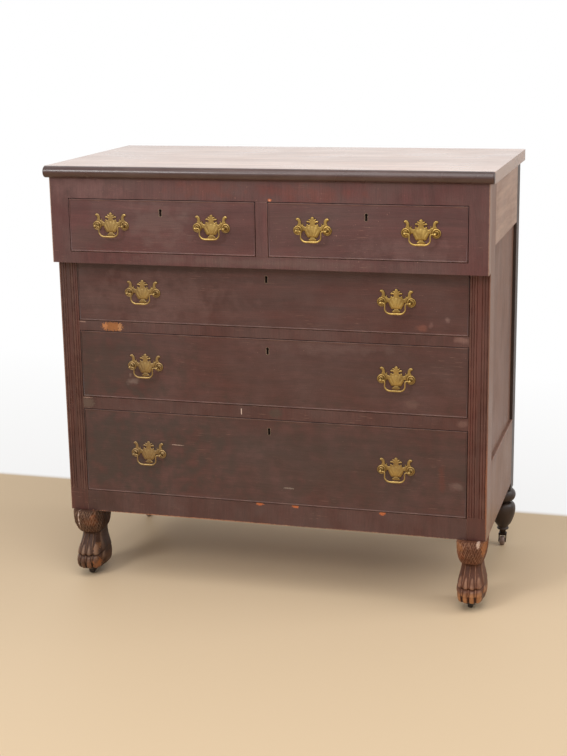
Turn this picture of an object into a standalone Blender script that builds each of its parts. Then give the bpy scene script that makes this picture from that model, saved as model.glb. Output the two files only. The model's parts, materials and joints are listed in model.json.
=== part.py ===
"""Chest of drawers: two short drawers over three long ones, on carved paw feet and turned rear feet.

Units are metres, +Z is up and the front looks along -Y. The origin is on the floor, under the
centre of the whole chest. Every piece is its own object, and each drawer, caster and handle hangs
on its own joint: run this file and all of it stands in the scene at rest.
"""

import math

import bmesh
import bpy
from mathutils import Matrix, Vector

# Driving sizes of the case
CASE_WIDTH = 1.090
CASE_DEPTH = 0.551
UPPER_PROJECTION = 0.031
JOINT_GAP = 0.0003

# How far joined shapes run into each other, and cutters run past what they cut
LAP = 0.010

# Heights, stacked from the floor to the top board
CASE_BOTTOM = 0.185
BASE_RAIL_HEIGHT = 0.055
BOTTOM_OPENING = 0.2215
LOWER_RAIL_HEIGHT = 0.031
MIDDLE_OPENING = 0.1745
UPPER_RAIL_HEIGHT = 0.025
TOP_LONG_OPENING = 0.153
SHELF_RAIL_HEIGHT = 0.028
SHORT_OPENING = 0.133
FRIEZE_HEIGHT = 0.050
TOP_THICKNESS = 0.029

# Top board
TOP_SIDE_OVERHANG = 0.011
TOP_FRONT_OVERHANG = 0.016
TOP_BACK_OVERHANG = 0.009
NOSE_SHARE = 0.48
NOSE_SEGMENTS = 5

# Posts, rails, panels and back
STILE_WIDTH = 0.048
FRONT_POST_DEPTH = 0.069
REAR_POST_WIDTH = 0.046
REAR_POST_DEPTH = 0.050
REAR_POST_DROP = 0.021
MUNTIN_WIDTH = 0.030
RAIL_DEPTH = 0.050
SIDE_RAIL_THICKNESS = 0.022
SIDE_TOP_RAIL_HEIGHT = 0.156
SIDE_BOTTOM_RAIL_HEIGHT = 0.181
PANEL_THICKNESS = 0.010
PANEL_RECESS = 0.008
PANEL_TONGUE = 0.008
TENON_LENGTH = 0.012
TENON_SHOULDER = 0.006
BACK_THICKNESS = 0.010
BACK_REBATE = 0.010
BACK_BOTTOM = 0.205
BACK_TOP_GAP = 0.006

# Reeding on the front posts
REED_CENTRE = 0.0060
REED_PITCH = 0.0064
REEDS_EACH_SIDE = 3
REED_GROOVE_WIDTH = 0.0030
REED_GROOVE_DEPTH = 0.0018
REED_END_GAP = 0.003

# Runners under the drawers
RUNNER_WIDTH = 0.036
RUNNER_DROP = 0.0002
RUNNER_UNDERCUT = 0.003
GUIDE_HEIGHT = 0.014

# Drawers
DRAWER_SIDE_GAP = 0.0014
DRAWER_TOP_GAP = 0.0016
DRAWER_FOOT_GAP = 0.0012
DRAWER_SETBACK = 0.0003
FRONT_THICKNESS = 0.022
BEAD_WIDTH = 0.0030
BEAD_SLOPE = 0.0004
BEAD_PROUD = 0.0010
SIDE_THICKNESS = 0.012
BOTTOM_THICKNESS = 0.008
BOTTOM_RAISE = 0.010
SIDE_TOP_DROP = 0.006
DRAWER_BACK_ROOM = 0.030
TAIL_DEPTH = 0.014
TAIL_PITCH = 0.050
TAIL_SHARE = 0.60
TAIL_SLOPE = 0.12

# Locks
BOLT_WIDTH = 0.030
BOLT_THICKNESS = 0.005
BOLT_HEIGHT = 0.034
BOLT_INSET = 0.009
BOLT_THROW = 0.008
BOLT_TOP_DROP = 0.001
BOLT_SLOT_DEPTH = 0.0355
KEYHOLE_BELOW_TOP = 0.025
KEYHOLE_RADIUS = 0.0029
KEYHOLE_SLOT_WIDTH = 0.0038
KEYHOLE_SLOT_DROP = 0.0135

# Brass pulls, measured from the line between the two posts
PULL_BORE = 0.071
EAR_RADIUS = 0.0118
SHIELD_HALF_WIDTH = 0.019
PLATE_RISE = 0.033
PLATE_DROP = 0.026
PLATE_THICKNESS = 0.002
POST_REACH = 0.018
POST_RADIUS = 0.0026
POST_HEAD_RADIUS = 0.0038
STUD_RADIUS = 0.0020
STUD_LENGTH = 0.027
PIN_RADIUS = 0.0015
PIN_CLEARANCE = 0.0003
PIN_DEPTH = 0.0015
BAIL_HALF_WIDTH = 0.025
BAIL_DROP = 0.028
BAIL_WAIST_RADIUS = 0.0019
BAIL_GRIP_RADIUS = 0.0028
BAIL_CORNER_WIDTH = 0.014
BAIL_CORNER_HEIGHT = 0.013
BAIL_BEND = 0.0039
SHORT_PULL_INSET = 0.111
LONG_PULL_INSET = 0.175
PULL_RAISE = 0.001

# Paw feet at the front
PAW_HALF_WIDTH = 0.035
PAW_DEPTH = 0.124
PAW_INSET = 0.004
PAW_PROJECTION = 0.021
PAW_BOTTOM = 0.020
PAW_BACK_SQUARENESS = 1.8
PAW_CASTER_SETBACK = 0.035
PAW_STEPS = 32
TOE_HOLLOW = 0.10
DOWEL_RADIUS = 0.009
DOWEL_HEIGHT = 0.030

# Turned rear feet
TURNED_RADIUS = 0.0333

# Casters
CASTER_HEIGHT = 0.044
WHEEL_RADIUS = 0.0125
WHEEL_HALF_WIDTH = 0.0068
WHEEL_TRAIL = 0.008
AXLE_RADIUS = 0.0020
FORK_HALF_WIDTH = 0.0105
FORK_ARM = 0.0025
CROWN_THICKNESS = 0.006
COLLAR_RADIUS = 0.0095
STEM_RADIUS = 0.0040
STEM_LENGTH = 0.030
POCKET_ROOM = 0.002

# Places that follow from the sizes
HALF_WIDTH = CASE_WIDTH / 2
FOREMOST = max(TOP_FRONT_OVERHANG, POST_REACH + POST_HEAD_RADIUS - DRAWER_SETBACK)
UPPER_FACE = -(CASE_DEPTH + TOP_BACK_OVERHANG - FOREMOST) / 2
LOWER_FACE = UPPER_FACE + UPPER_PROJECTION
CASE_BACK = UPPER_FACE + CASE_DEPTH
POST_INSIDE = HALF_WIDTH - STILE_WIDTH
POST_REAR = LOWER_FACE + FRONT_POST_DEPTH
REAR_POST_FRONT = CASE_BACK - REAR_POST_DEPTH
REAR_POST_INSIDE = HALF_WIDTH - REAR_POST_WIDTH
BACK_FRONT = CASE_BACK - BACK_THICKNESS - JOINT_GAP

BASE_TOP = CASE_BOTTOM + BASE_RAIL_HEIGHT
LOWER_RAIL_BOTTOM = BASE_TOP + BOTTOM_OPENING
LOWER_RAIL_TOP = LOWER_RAIL_BOTTOM + LOWER_RAIL_HEIGHT
UPPER_RAIL_BOTTOM = LOWER_RAIL_TOP + MIDDLE_OPENING
UPPER_RAIL_TOP = UPPER_RAIL_BOTTOM + UPPER_RAIL_HEIGHT
SHELF_BOTTOM = UPPER_RAIL_TOP + TOP_LONG_OPENING
SHELF_TOP = SHELF_BOTTOM + SHELF_RAIL_HEIGHT
FRIEZE_BOTTOM = SHELF_TOP + SHORT_OPENING
CASE_TOP = FRIEZE_BOTTOM + FRIEZE_HEIGHT
SIDE_TOP_RAIL_BOTTOM = CASE_TOP - SIDE_TOP_RAIL_HEIGHT
SIDE_BOTTOM_RAIL_TOP = CASE_BOTTOM + SIDE_BOTTOM_RAIL_HEIGHT

PANEL_OUTSIDE = HALF_WIDTH - PANEL_RECESS
PANEL_INSIDE = PANEL_OUTSIDE - PANEL_THICKNESS
SIDE_RAIL_INSIDE = HALF_WIDTH - SIDE_RAIL_THICKNESS
PAW_CENTRE_X = HALF_WIDTH - PAW_INSET - PAW_HALF_WIDTH
PAW_CENTRE_Y = LOWER_FACE - PAW_PROJECTION + PAW_DEPTH / 2
PAW_CASTER_Y = LOWER_FACE + PAW_CASTER_SETBACK
DOWEL_X = HALF_WIDTH - STILE_WIDTH / 2
DOWEL_Y = LOWER_FACE + FRONT_POST_DEPTH / 2
REAR_FOOT_X = HALF_WIDTH - REAR_POST_WIDTH / 2
REAR_FOOT_Y = CASE_BACK - REAR_POST_DEPTH / 2
POCKET_RADIUS = WHEEL_TRAIL + math.hypot(WHEEL_RADIUS, FORK_HALF_WIDTH) + POCKET_ROOM

# Each material's colour, roughness and metallic value
MATERIALS = {
    "mahogany": ((0.105, 0.044, 0.034), 0.42, 0.0),
    "carved wood": ((0.160, 0.060, 0.028), 0.50, 0.0),
    "dark wood": ((0.035, 0.022, 0.018), 0.50, 0.0),
    "side wood": ((0.190, 0.120, 0.095), 0.50, 0.0),
    "top wood": ((0.420, 0.300, 0.250), 0.45, 0.0),
    "wheel wood": ((0.190, 0.120, 0.095), 0.50, 0.0),
    "poplar": ((0.420, 0.280, 0.150), 0.70, 0.0),
    "brass": ((0.480, 0.330, 0.090), 0.35, 1.0),
    "iron": ((0.090, 0.075, 0.065), 0.50, 0.8),
}


def clear_scene():
    for obj in list(bpy.data.objects):
        bpy.data.objects.remove(obj)


def material(name):
    made = bpy.data.materials.get(name)
    if made:
        return made
    colour, roughness, metallic = MATERIALS[name]
    made = bpy.data.materials.new(name)
    made.use_nodes = True
    shader = made.node_tree.nodes["Principled BSDF"]
    shader.inputs["Base Color"].default_value = (*colour, 1.0)
    shader.inputs["Roughness"].default_value = roughness
    shader.inputs["Metallic"].default_value = metallic
    made.diffuse_color = (*colour, 1.0)
    return made


def empty(name, location, parent=None):
    """A joint's place: what hangs on it moves with it."""
    made = bpy.data.objects.new(name, None)
    made.location = location
    made.parent = parent
    bpy.context.scene.collection.objects.link(made)
    return made


def piece(name, shape, look=None, parent=None, location=(0, 0, 0), smooth=False):
    """Turns a bmesh into an object of that name. A piece with no look is a cutter or a filler."""
    bmesh.ops.remove_doubles(shape, verts=shape.verts, dist=1e-7)
    bmesh.ops.recalc_face_normals(shape, faces=shape.faces)
    mesh = bpy.data.meshes.new(name)
    shape.to_mesh(mesh)
    shape.free()
    if smooth:
        mesh.shade_smooth()
        mesh.set_sharp_from_angle(angle=math.radians(35))
    made = bpy.data.objects.new(name, mesh)
    made.parent = parent
    made.location = location
    bpy.context.scene.collection.objects.link(made)
    if look:
        mesh.materials.append(look)
    else:
        made.hide_render = True
        made.display_type = "WIRE"
    return made


def copy_of(original, name, parent, location):
    """Another piece with the same mesh and the same cuts."""
    made = original.copy()
    made.name = name
    made.parent = parent
    made.location = location
    bpy.context.scene.collection.objects.link(made)
    return made


def boolean(target, other, operation):
    modifier = target.modifiers.new(f"{operation.lower()} {other.name}", "BOOLEAN")
    modifier.operation = operation
    modifier.solver = "EXACT"
    modifier.object = other


def settle(target):
    """Applies a piece's modifiers, so that copies of its mesh carry the same cuts."""
    graph = bpy.context.evaluated_depsgraph_get()
    mesh = bpy.data.meshes.new_from_object(target.evaluated_get(graph))
    target.modifiers.clear()
    target.data = mesh


def box(shape, low, high):
    low, high = Vector(low), Vector(high)
    size = high - low
    place = Matrix.Translation((low + high) / 2) @ Matrix.Diagonal((*size, 1.0))
    bmesh.ops.create_cube(shape, size=1.0, matrix=place)
    return shape


def mirrored_box(low, high, side):
    """The corners of a box that is given for the right side, on the side asked for."""
    if side > 0:
        return low, high
    return (-high[0], low[1], low[2]), (-low[0], high[1], high[2])


def sided(shape, low, high, side):
    return box(shape, *mirrored_box(low, high, side))


def prism(shape, outline, along, start, end):
    """A flat outline pushed along an axis. The outline's pairs are the other two axes, in order."""
    corners = []
    for a, b in outline:
        corners.append({"X": (start, a, b), "Y": (a, start, b), "Z": (a, b, start)}[along])
    face = shape.faces.new([shape.verts.new(corner) for corner in corners])
    pushed = bmesh.ops.extrude_face_region(shape, geom=[face])
    offset = {"X": (end - start, 0, 0), "Y": (0, end - start, 0), "Z": (0, 0, end - start)}[along]
    verts = [item for item in pushed["geom"] if isinstance(item, bmesh.types.BMVert)]
    bmesh.ops.translate(shape, verts=verts, vec=offset)
    return shape


def turned(shape, profile, segments, axis="Z", centre=(0, 0, 0), twist=0.0):
    """A solid of revolution from (radius, distance along the axis) pairs. The ends have radius 0."""
    turn = {"Z": Matrix.Identity(4), "X": Matrix.Rotation(math.pi / 2, 4, "Y"),
            "Y": Matrix.Rotation(-math.pi / 2, 4, "X")}[axis]
    place = Matrix.Translation(centre) @ turn @ Matrix.Rotation(twist, 4, "Z")
    rings = []
    for radius, along in profile:
        count = segments if radius > 0 else 1
        angles = [2 * math.pi * step / segments for step in range(count)]
        points = [place @ Vector((radius * math.cos(a), radius * math.sin(a), along)) for a in angles]
        rings.append([shape.verts.new(point) for point in points])
    for lower, upper in zip(rings, rings[1:]):
        for step in range(segments):
            after = (step + 1) % segments
            corners = [lower[step % len(lower)], lower[after % len(lower)],
                       upper[after % len(upper)], upper[step % len(upper)]]
            shape.faces.new(list(dict.fromkeys(corners)))
    return shape


def cylinder(shape, radius, start, end, axis, centre=(0, 0, 0), segments=12, twist=0.0):
    profile = [(0, start), (radius, start), (radius, end), (0, end)]
    return turned(shape, profile, segments, axis, centre, twist)


def swept(shape, path, sides):
    """A round bar along points (x, z, radius) in the plane y = 0, closed at both ends."""
    rings = []
    for index, (x, z, radius) in enumerate(path):
        before = path[max(index - 1, 0)]
        after = path[min(index + 1, len(path) - 1)]
        ahead = Vector((after[0] - before[0], 0, after[1] - before[1])).normalized()
        across = Vector((-ahead.z, 0, ahead.x))
        ring = []
        for step in range(sides):
            angle = 2 * math.pi * step / sides
            offset = across * math.cos(angle) + Vector((0, 1, 0)) * math.sin(angle)
            ring.append(shape.verts.new(Vector((x, 0, z)) + offset * radius))
        rings.append(ring)
    for first, second in zip(rings, rings[1:]):
        for step in range(sides):
            after = (step + 1) % sides
            shape.faces.new([first[step], first[after], second[after], second[step]])
    shape.faces.new(rings[0][::-1])
    shape.faces.new(rings[-1])
    return shape


def make_top_board():
    """One thick board with square ends. Its front edge is worked to a half round."""
    shape = bmesh.new()
    side = HALF_WIDTH + TOP_SIDE_OVERHANG
    front, back = UPPER_FACE - TOP_FRONT_OVERHANG, CASE_BACK + TOP_BACK_OVERHANG
    box(shape, (-side, front, CASE_TOP), (side, back, CASE_TOP + TOP_THICKNESS))
    nosed = []
    for edge in shape.edges:
        level = abs(edge.verts[0].co.z - edge.verts[1].co.z) < TOP_THICKNESS / 2
        at_front = all(abs(vert.co.y - front) < TOP_THICKNESS / 2 for vert in edge.verts)
        if level and at_front:
            nosed.append(edge)
    bmesh.ops.bevel(shape, geom=nosed, offset=TOP_THICKNESS * NOSE_SHARE, offset_type="OFFSET",
                    affect="EDGES", segments=NOSE_SEGMENTS, profile=0.5, material=-1, clamp_overlap=True)
    piece("top_board", shape, material("top wood"), smooth=True)


def rail_tenon(bottom, top, grow):
    """Corners of the tenon at the right end of a drawer rail, with clearance when it is a mortise."""
    shoulder = min(TENON_SHOULDER, (top - bottom) / 4) - grow
    inset = TENON_SHOULDER * 2 - grow
    low = (POST_INSIDE - LAP, LOWER_FACE + inset, bottom + shoulder)
    high = (POST_INSIDE + TENON_LENGTH + grow, LOWER_FACE + RAIL_DEPTH - inset, top - shoulder)
    return low, high


def side_rail_tenon(bottom, top, at_front, grow):
    """Corners of the tenon at one end of a right side rail."""
    inner = SIDE_RAIL_INSIDE + TENON_SHOULDER - grow
    outer = HALF_WIDTH - TENON_SHOULDER + grow
    low, high = bottom + TENON_SHOULDER * 2 - grow, top - TENON_SHOULDER * 2 + grow
    if at_front:
        return (inner, POST_REAR - TENON_LENGTH - grow, low), (outer, POST_REAR + LAP, high)
    return (inner, REAR_POST_FRONT - LAP, low), (outer, REAR_POST_FRONT + TENON_LENGTH + grow, high)


def make_front_post(side, label):
    """The reeded corner post. It is mortised for the rails and grooved for the side panel."""
    look = material("mahogany")
    low = (POST_INSIDE, LOWER_FACE, CASE_BOTTOM)
    high = (HALF_WIDTH, POST_REAR, CASE_TOP - JOINT_GAP)
    post = piece(f"{label}_front_post", sided(bmesh.new(), low, high, side), look)

    reeds = bmesh.new()
    middle = side * (HALF_WIDTH - STILE_WIDTH / 2)
    for index in range(REEDS_EACH_SIDE):
        for hand in (-1, 1):
            x = middle + hand * (REED_CENTRE + index * REED_PITCH)
            outline = [(x - REED_GROOVE_WIDTH / 2, LOWER_FACE - REED_GROOVE_DEPTH),
                       (x + REED_GROOVE_WIDTH / 2, LOWER_FACE - REED_GROOVE_DEPTH),
                       (x + REED_GROOVE_WIDTH / 2, LOWER_FACE),
                       (x, LOWER_FACE + REED_GROOVE_DEPTH),
                       (x - REED_GROOVE_WIDTH / 2, LOWER_FACE)]
            prism(reeds, outline, "Z", BASE_TOP + REED_END_GAP, SHELF_BOTTOM + REED_END_GAP)
    boolean(post, piece(f"{label} reed cutter", reeds), "DIFFERENCE")

    mortises = bmesh.new()
    rails = ((CASE_BOTTOM, BASE_TOP), (LOWER_RAIL_BOTTOM, LOWER_RAIL_TOP),
             (UPPER_RAIL_BOTTOM, UPPER_RAIL_TOP))
    for bottom, top in rails:
        sided(mortises, *rail_tenon(bottom, top, JOINT_GAP), side)
    boolean(post, piece(f"{label} rail mortise cutter", mortises), "DIFFERENCE")

    sockets = bmesh.new()
    for bottom, top in ((CASE_BOTTOM, SIDE_BOTTOM_RAIL_TOP), (SIDE_TOP_RAIL_BOTTOM, CASE_TOP)):
        sided(sockets, *side_rail_tenon(bottom, top, True, JOINT_GAP), side)
    boolean(post, piece(f"{label} side mortise cutter", sockets), "DIFFERENCE")

    groove = sided(
        bmesh.new(),
        (PANEL_INSIDE - JOINT_GAP, POST_REAR - PANEL_TONGUE - JOINT_GAP, SIDE_BOTTOM_RAIL_TOP - LAP),
        (PANEL_OUTSIDE + JOINT_GAP, POST_REAR + LAP, SIDE_TOP_RAIL_BOTTOM + PANEL_TONGUE + JOINT_GAP),
        side,
    )
    boolean(post, piece(f"{label} front groove cutter", groove), "DIFFERENCE")

    hole = cylinder(bmesh.new(), DOWEL_RADIUS + JOINT_GAP, -LAP, DOWEL_HEIGHT + JOINT_GAP, "Z")
    place = (side * DOWEL_X, DOWEL_Y, CASE_BOTTOM)
    boolean(post, piece(f"{label} dowel cutter", hole, location=place), "DIFFERENCE")


def turned_foot_profile():
    """The foot's outline from the caster up, with its peg into the post, as (radius, height) pairs."""
    post_bottom = CASE_BOTTOM - REAR_POST_DROP
    rise = post_bottom - CASTER_HEIGHT
    # Shares of the foot's radius and height
    collar = ((0.38, 0.0), (0.47, 0.01), (0.48, 0.038), (0.41, 0.058))
    vase = ((0.50, 0.10), (0.65, 0.158), (0.76, 0.217), (0.88, 0.317), (0.98, 0.425), (1.0, 0.525),
            (0.94, 0.608), (0.79, 0.658), (0.60, 0.679))
    ball = ((0.73, 0.70), (0.92, 0.75), (1.0, 0.842), (0.92, 0.925), (0.73, 0.983))
    profile = [(0, CASTER_HEIGHT)]
    for radius, height in collar + vase + ball:
        profile.append((TURNED_RADIUS * radius, CASTER_HEIGHT + rise * height))
    peg_radius = TURNED_RADIUS * 0.55
    return profile + [(peg_radius, post_bottom + LAP), (0, post_bottom + LAP)]


def make_rear_post(side, label):
    """The back post with its turned foot, rebated for the back panel."""
    low = (REAR_POST_INSIDE, REAR_POST_FRONT, CASE_BOTTOM - REAR_POST_DROP)
    high = (HALF_WIDTH, CASE_BACK, CASE_TOP - JOINT_GAP)
    look = material("dark wood")
    post = piece(f"{label}_rear_post", sided(bmesh.new(), low, high, side), look)
    foot = turned(bmesh.new(), turned_foot_profile(), 16, centre=(side * REAR_FOOT_X, REAR_FOOT_Y, 0))
    boolean(post, piece(f"{label} turned foot", foot), "UNION")

    cuts = bmesh.new()
    for bottom, top in ((CASE_BOTTOM, SIDE_BOTTOM_RAIL_TOP), (SIDE_TOP_RAIL_BOTTOM, CASE_TOP)):
        sided(cuts, *side_rail_tenon(bottom, top, False, JOINT_GAP), side)
    boolean(post, piece(f"{label} rear mortise cutter", cuts), "DIFFERENCE")
    groove = sided(
        bmesh.new(),
        (PANEL_INSIDE - JOINT_GAP, REAR_POST_FRONT - LAP, SIDE_BOTTOM_RAIL_TOP - LAP),
        (PANEL_OUTSIDE + JOINT_GAP, REAR_POST_FRONT + PANEL_TONGUE + JOINT_GAP,
         SIDE_TOP_RAIL_BOTTOM + PANEL_TONGUE + JOINT_GAP),
        side,
    )
    boolean(post, piece(f"{label} rear groove cutter", groove), "DIFFERENCE")
    rebate = sided(
        bmesh.new(),
        (REAR_POST_INSIDE - LAP, BACK_FRONT - JOINT_GAP, BACK_BOTTOM - JOINT_GAP),
        (REAR_POST_INSIDE + BACK_REBATE + JOINT_GAP, CASE_BACK + LAP, CASE_TOP + LAP),
        side,
    )
    boolean(post, piece(f"{label} rebate cutter", rebate), "DIFFERENCE")
    stem_hole = cylinder(bmesh.new(), STEM_RADIUS + JOINT_GAP, -LAP, STEM_LENGTH + JOINT_GAP, "Z",
                         segments=8)
    place = (side * REAR_FOOT_X, REAR_FOOT_Y, CASTER_HEIGHT)
    boolean(post, piece(f"{label} rear stem cutter", stem_hole, location=place), "DIFFERENCE")


def make_side(side, label):
    """A top rail, and a panel glued to its bottom rail. Both rails are tenoned into the posts."""
    look = material("side wood")
    front, back = POST_REAR + JOINT_GAP, REAR_POST_FRONT - JOINT_GAP
    low = (SIDE_RAIL_INSIDE, front, SIDE_TOP_RAIL_BOTTOM)
    high = (HALF_WIDTH, back, CASE_TOP - JOINT_GAP)
    top_rail = piece(f"{label}_side_top_rail", sided(bmesh.new(), low, high, side), look)
    low = (SIDE_RAIL_INSIDE, front, CASE_BOTTOM)
    high = (HALF_WIDTH, back, SIDE_BOTTOM_RAIL_TOP)
    panel = piece(f"{label}_side_panel", sided(bmesh.new(), low, high, side), look)
    field = sided(
        bmesh.new(),
        (PANEL_INSIDE, POST_REAR - PANEL_TONGUE, SIDE_BOTTOM_RAIL_TOP - LAP + JOINT_GAP),
        (PANEL_OUTSIDE, REAR_POST_FRONT + PANEL_TONGUE, SIDE_TOP_RAIL_BOTTOM + PANEL_TONGUE),
        side,
    )
    boolean(panel, piece(f"{label} panel field", field), "UNION")
    for rail, bottom, top in ((top_rail, SIDE_TOP_RAIL_BOTTOM, CASE_TOP),
                              (panel, CASE_BOTTOM, SIDE_BOTTOM_RAIL_TOP)):
        for at_front in (True, False):
            tongue = sided(bmesh.new(), *side_rail_tenon(bottom, top, at_front, 0.0), side)
            boolean(rail, piece(f"{rail.name} tenon {at_front}", tongue), "UNION")
    groove = sided(
        bmesh.new(),
        (PANEL_INSIDE - JOINT_GAP, front - TENON_LENGTH * 2, SIDE_TOP_RAIL_BOTTOM - LAP),
        (PANEL_OUTSIDE + JOINT_GAP, back + TENON_LENGTH * 2, SIDE_TOP_RAIL_BOTTOM + PANEL_TONGUE + JOINT_GAP),
        side,
    )
    boolean(top_rail, piece(f"{label} top rail groove cutter", groove), "DIFFERENCE")


def add_runners(frame, bottom, top):
    """On each side, a runner that carries the drawer, and a guide beside it that keeps it straight."""
    for side, hand in ((-1, "left"), (1, "right")):
        runner = sided(
            bmesh.new(),
            (POST_INSIDE - RUNNER_WIDTH, LOWER_FACE + RAIL_DEPTH - LAP, bottom + RUNNER_UNDERCUT),
            (POST_INSIDE - JOINT_GAP, BACK_FRONT - JOINT_GAP, top - RUNNER_DROP),
            side,
        )
        guide = sided(
            bmesh.new(),
            (POST_INSIDE - LAP / 2, POST_REAR + JOINT_GAP, bottom + RUNNER_UNDERCUT * 2),
            (SIDE_RAIL_INSIDE - JOINT_GAP, REAR_POST_FRONT - JOINT_GAP, top - RUNNER_DROP * 2),
            side,
        )
        fence = sided(
            bmesh.new(),
            (POST_INSIDE, POST_REAR + JOINT_GAP * 2, (bottom + top) / 2),
            (SIDE_RAIL_INSIDE - JOINT_GAP * 2, REAR_POST_FRONT - JOINT_GAP * 2, top + GUIDE_HEIGHT),
            side,
        )
        for kind, shape in (("runner", runner), ("guide", guide), ("fence", fence)):
            boolean(frame, piece(f"{frame.name} {hand} {kind}", shape), "UNION")


def bolt_pocket(face, underside, centre_x):
    """The slot in a rail that a lock's bolt rises into."""
    room = JOINT_GAP * 5
    return box(
        bmesh.new(),
        (centre_x - BOLT_WIDTH / 2 - room, face + DRAWER_SETBACK + BOLT_INSET - room, underside - LAP),
        (centre_x + BOLT_WIDTH / 2 + room, face + DRAWER_SETBACK + BOLT_INSET + BOLT_THICKNESS + room,
         underside + BOLT_THROW + room),
    )


def make_drawer_rail(name, bottom, top, pocket=True):
    """A front rail tenoned into both posts, with the two runners of the drawer above it."""
    shape = box(
        bmesh.new(),
        (-POST_INSIDE + JOINT_GAP, LOWER_FACE, bottom),
        (POST_INSIDE - JOINT_GAP, LOWER_FACE + RAIL_DEPTH, top),
    )
    rail = piece(name, shape, material("mahogany"))
    for side in (-1, 1):
        tongue = sided(bmesh.new(), *rail_tenon(bottom, top, 0.0), side)
        boolean(rail, piece(f"{name} tenon {side}", tongue), "UNION")
    add_runners(rail, bottom, top)
    if pocket:
        boolean(rail, piece(f"{name} bolt pocket", bolt_pocket(LOWER_FACE, bottom, 0.0)), "DIFFERENCE")


def short_opening(side):
    """Left and right edges of a short drawer's opening."""
    inner, outer = MUNTIN_WIDTH / 2, POST_INSIDE
    return (inner, outer) if side > 0 else (-outer, -inner)


def make_upper_frame():
    """The projecting front: frieze, stiles and shelf rail as one frame, with the outer runners."""
    shape = box(
        bmesh.new(),
        (-HALF_WIDTH, UPPER_FACE, SHELF_BOTTOM),
        (HALF_WIDTH, LOWER_FACE - JOINT_GAP, CASE_TOP - JOINT_GAP),
    )
    frame = piece("upper_front_frame", shape, material("mahogany"))
    opening = box(
        bmesh.new(),
        (-POST_INSIDE, UPPER_FACE - LAP, SHELF_TOP),
        (POST_INSIDE, LOWER_FACE + LAP, FRIEZE_BOTTOM),
    )
    boolean(frame, piece("upper opening cutter", opening), "DIFFERENCE")
    shelf = box(
        bmesh.new(),
        (-POST_INSIDE + JOINT_GAP, UPPER_FACE + LAP, SHELF_BOTTOM + RUNNER_UNDERCUT),
        (POST_INSIDE - JOINT_GAP, LOWER_FACE + RAIL_DEPTH, SHELF_TOP - RUNNER_DROP),
    )
    boolean(frame, piece("shelf rail", shelf), "UNION")
    add_runners(frame, SHELF_BOTTOM + JOINT_GAP, SHELF_TOP - JOINT_GAP)
    for side in (-1, 1):
        left, right = short_opening(side)
        pocket = bolt_pocket(UPPER_FACE, FRIEZE_BOTTOM, (left + right) / 2)
        boolean(frame, piece(f"frieze bolt pocket {side}", pocket), "DIFFERENCE")
    pocket = bolt_pocket(LOWER_FACE, SHELF_BOTTOM + RUNNER_UNDERCUT, 0.0)
    boolean(frame, piece("shelf bolt pocket", pocket), "DIFFERENCE")


def make_centre_divider():
    """The muntin between the short drawers, and the shared runner and guide behind it."""
    muntin = box(
        bmesh.new(),
        (-MUNTIN_WIDTH / 2, UPPER_FACE, SHELF_TOP + JOINT_GAP),
        (MUNTIN_WIDTH / 2, LOWER_FACE - JOINT_GAP, FRIEZE_BOTTOM - JOINT_GAP),
    )
    divider = piece("centre_divider", muntin, material("mahogany"))
    fence = box(
        bmesh.new(),
        (-MUNTIN_WIDTH / 2 + JOINT_GAP * 3, LOWER_FACE - LAP, SHELF_TOP + JOINT_GAP * 2),
        (MUNTIN_WIDTH / 2 - JOINT_GAP * 3, BACK_FRONT - JOINT_GAP * 3, SHELF_TOP + GUIDE_HEIGHT),
    )
    boolean(divider, piece("centre fence", fence), "UNION")
    half, rail_back = (MUNTIN_WIDTH + RUNNER_WIDTH) / 2, LOWER_FACE + RAIL_DEPTH
    runner = box(
        bmesh.new(),
        (-half, rail_back + JOINT_GAP, SHELF_BOTTOM + RUNNER_UNDERCUT),
        (half, BACK_FRONT - JOINT_GAP, SHELF_TOP - RUNNER_DROP),
    )
    boolean(divider, piece("centre runner", runner), "UNION")
    rib = box(
        bmesh.new(),
        (-MUNTIN_WIDTH / 4, rail_back + JOINT_GAP * 4, SHELF_BOTTOM + RUNNER_UNDERCUT * 2),
        (MUNTIN_WIDTH / 4, BACK_FRONT - JOINT_GAP * 6, SHELF_TOP + GUIDE_HEIGHT / 2),
    )
    boolean(divider, piece("centre rib", rib), "UNION")


def make_back_panel():
    side = REAR_POST_INSIDE + BACK_REBATE
    shape = box(
        bmesh.new(),
        (-side, BACK_FRONT, BACK_BOTTOM),
        (side, CASE_BACK - JOINT_GAP, CASE_TOP - BACK_TOP_GAP),
    )
    piece("back_panel", shape, material("poplar"))


def paw_ring(wide, ahead, behind, square, toe):
    """Points round the paw at one height, with four toes across its front."""
    points = []
    for step in range(PAW_STEPS):
        angle = 2 * math.pi * step / PAW_STEPS
        c, s = math.cos(angle), math.sin(angle)
        power = square * PAW_BACK_SQUARENESS if s > 0 else square
        reach = (abs(c) ** power + abs(s) ** power) ** (-1 / power)
        x = PAW_HALF_WIDTH * wide * reach * c
        y = PAW_DEPTH / 2 * (behind if s > 0 else ahead) * reach * s
        if s < 0:
            crest = abs(math.sin(2 * math.pi * x / PAW_HALF_WIDTH))
            y *= 1 - TOE_HOLLOW * toe * (1 - crest) * min(1.0, -s * 2)
        points.append((x, y))
    return points


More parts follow.
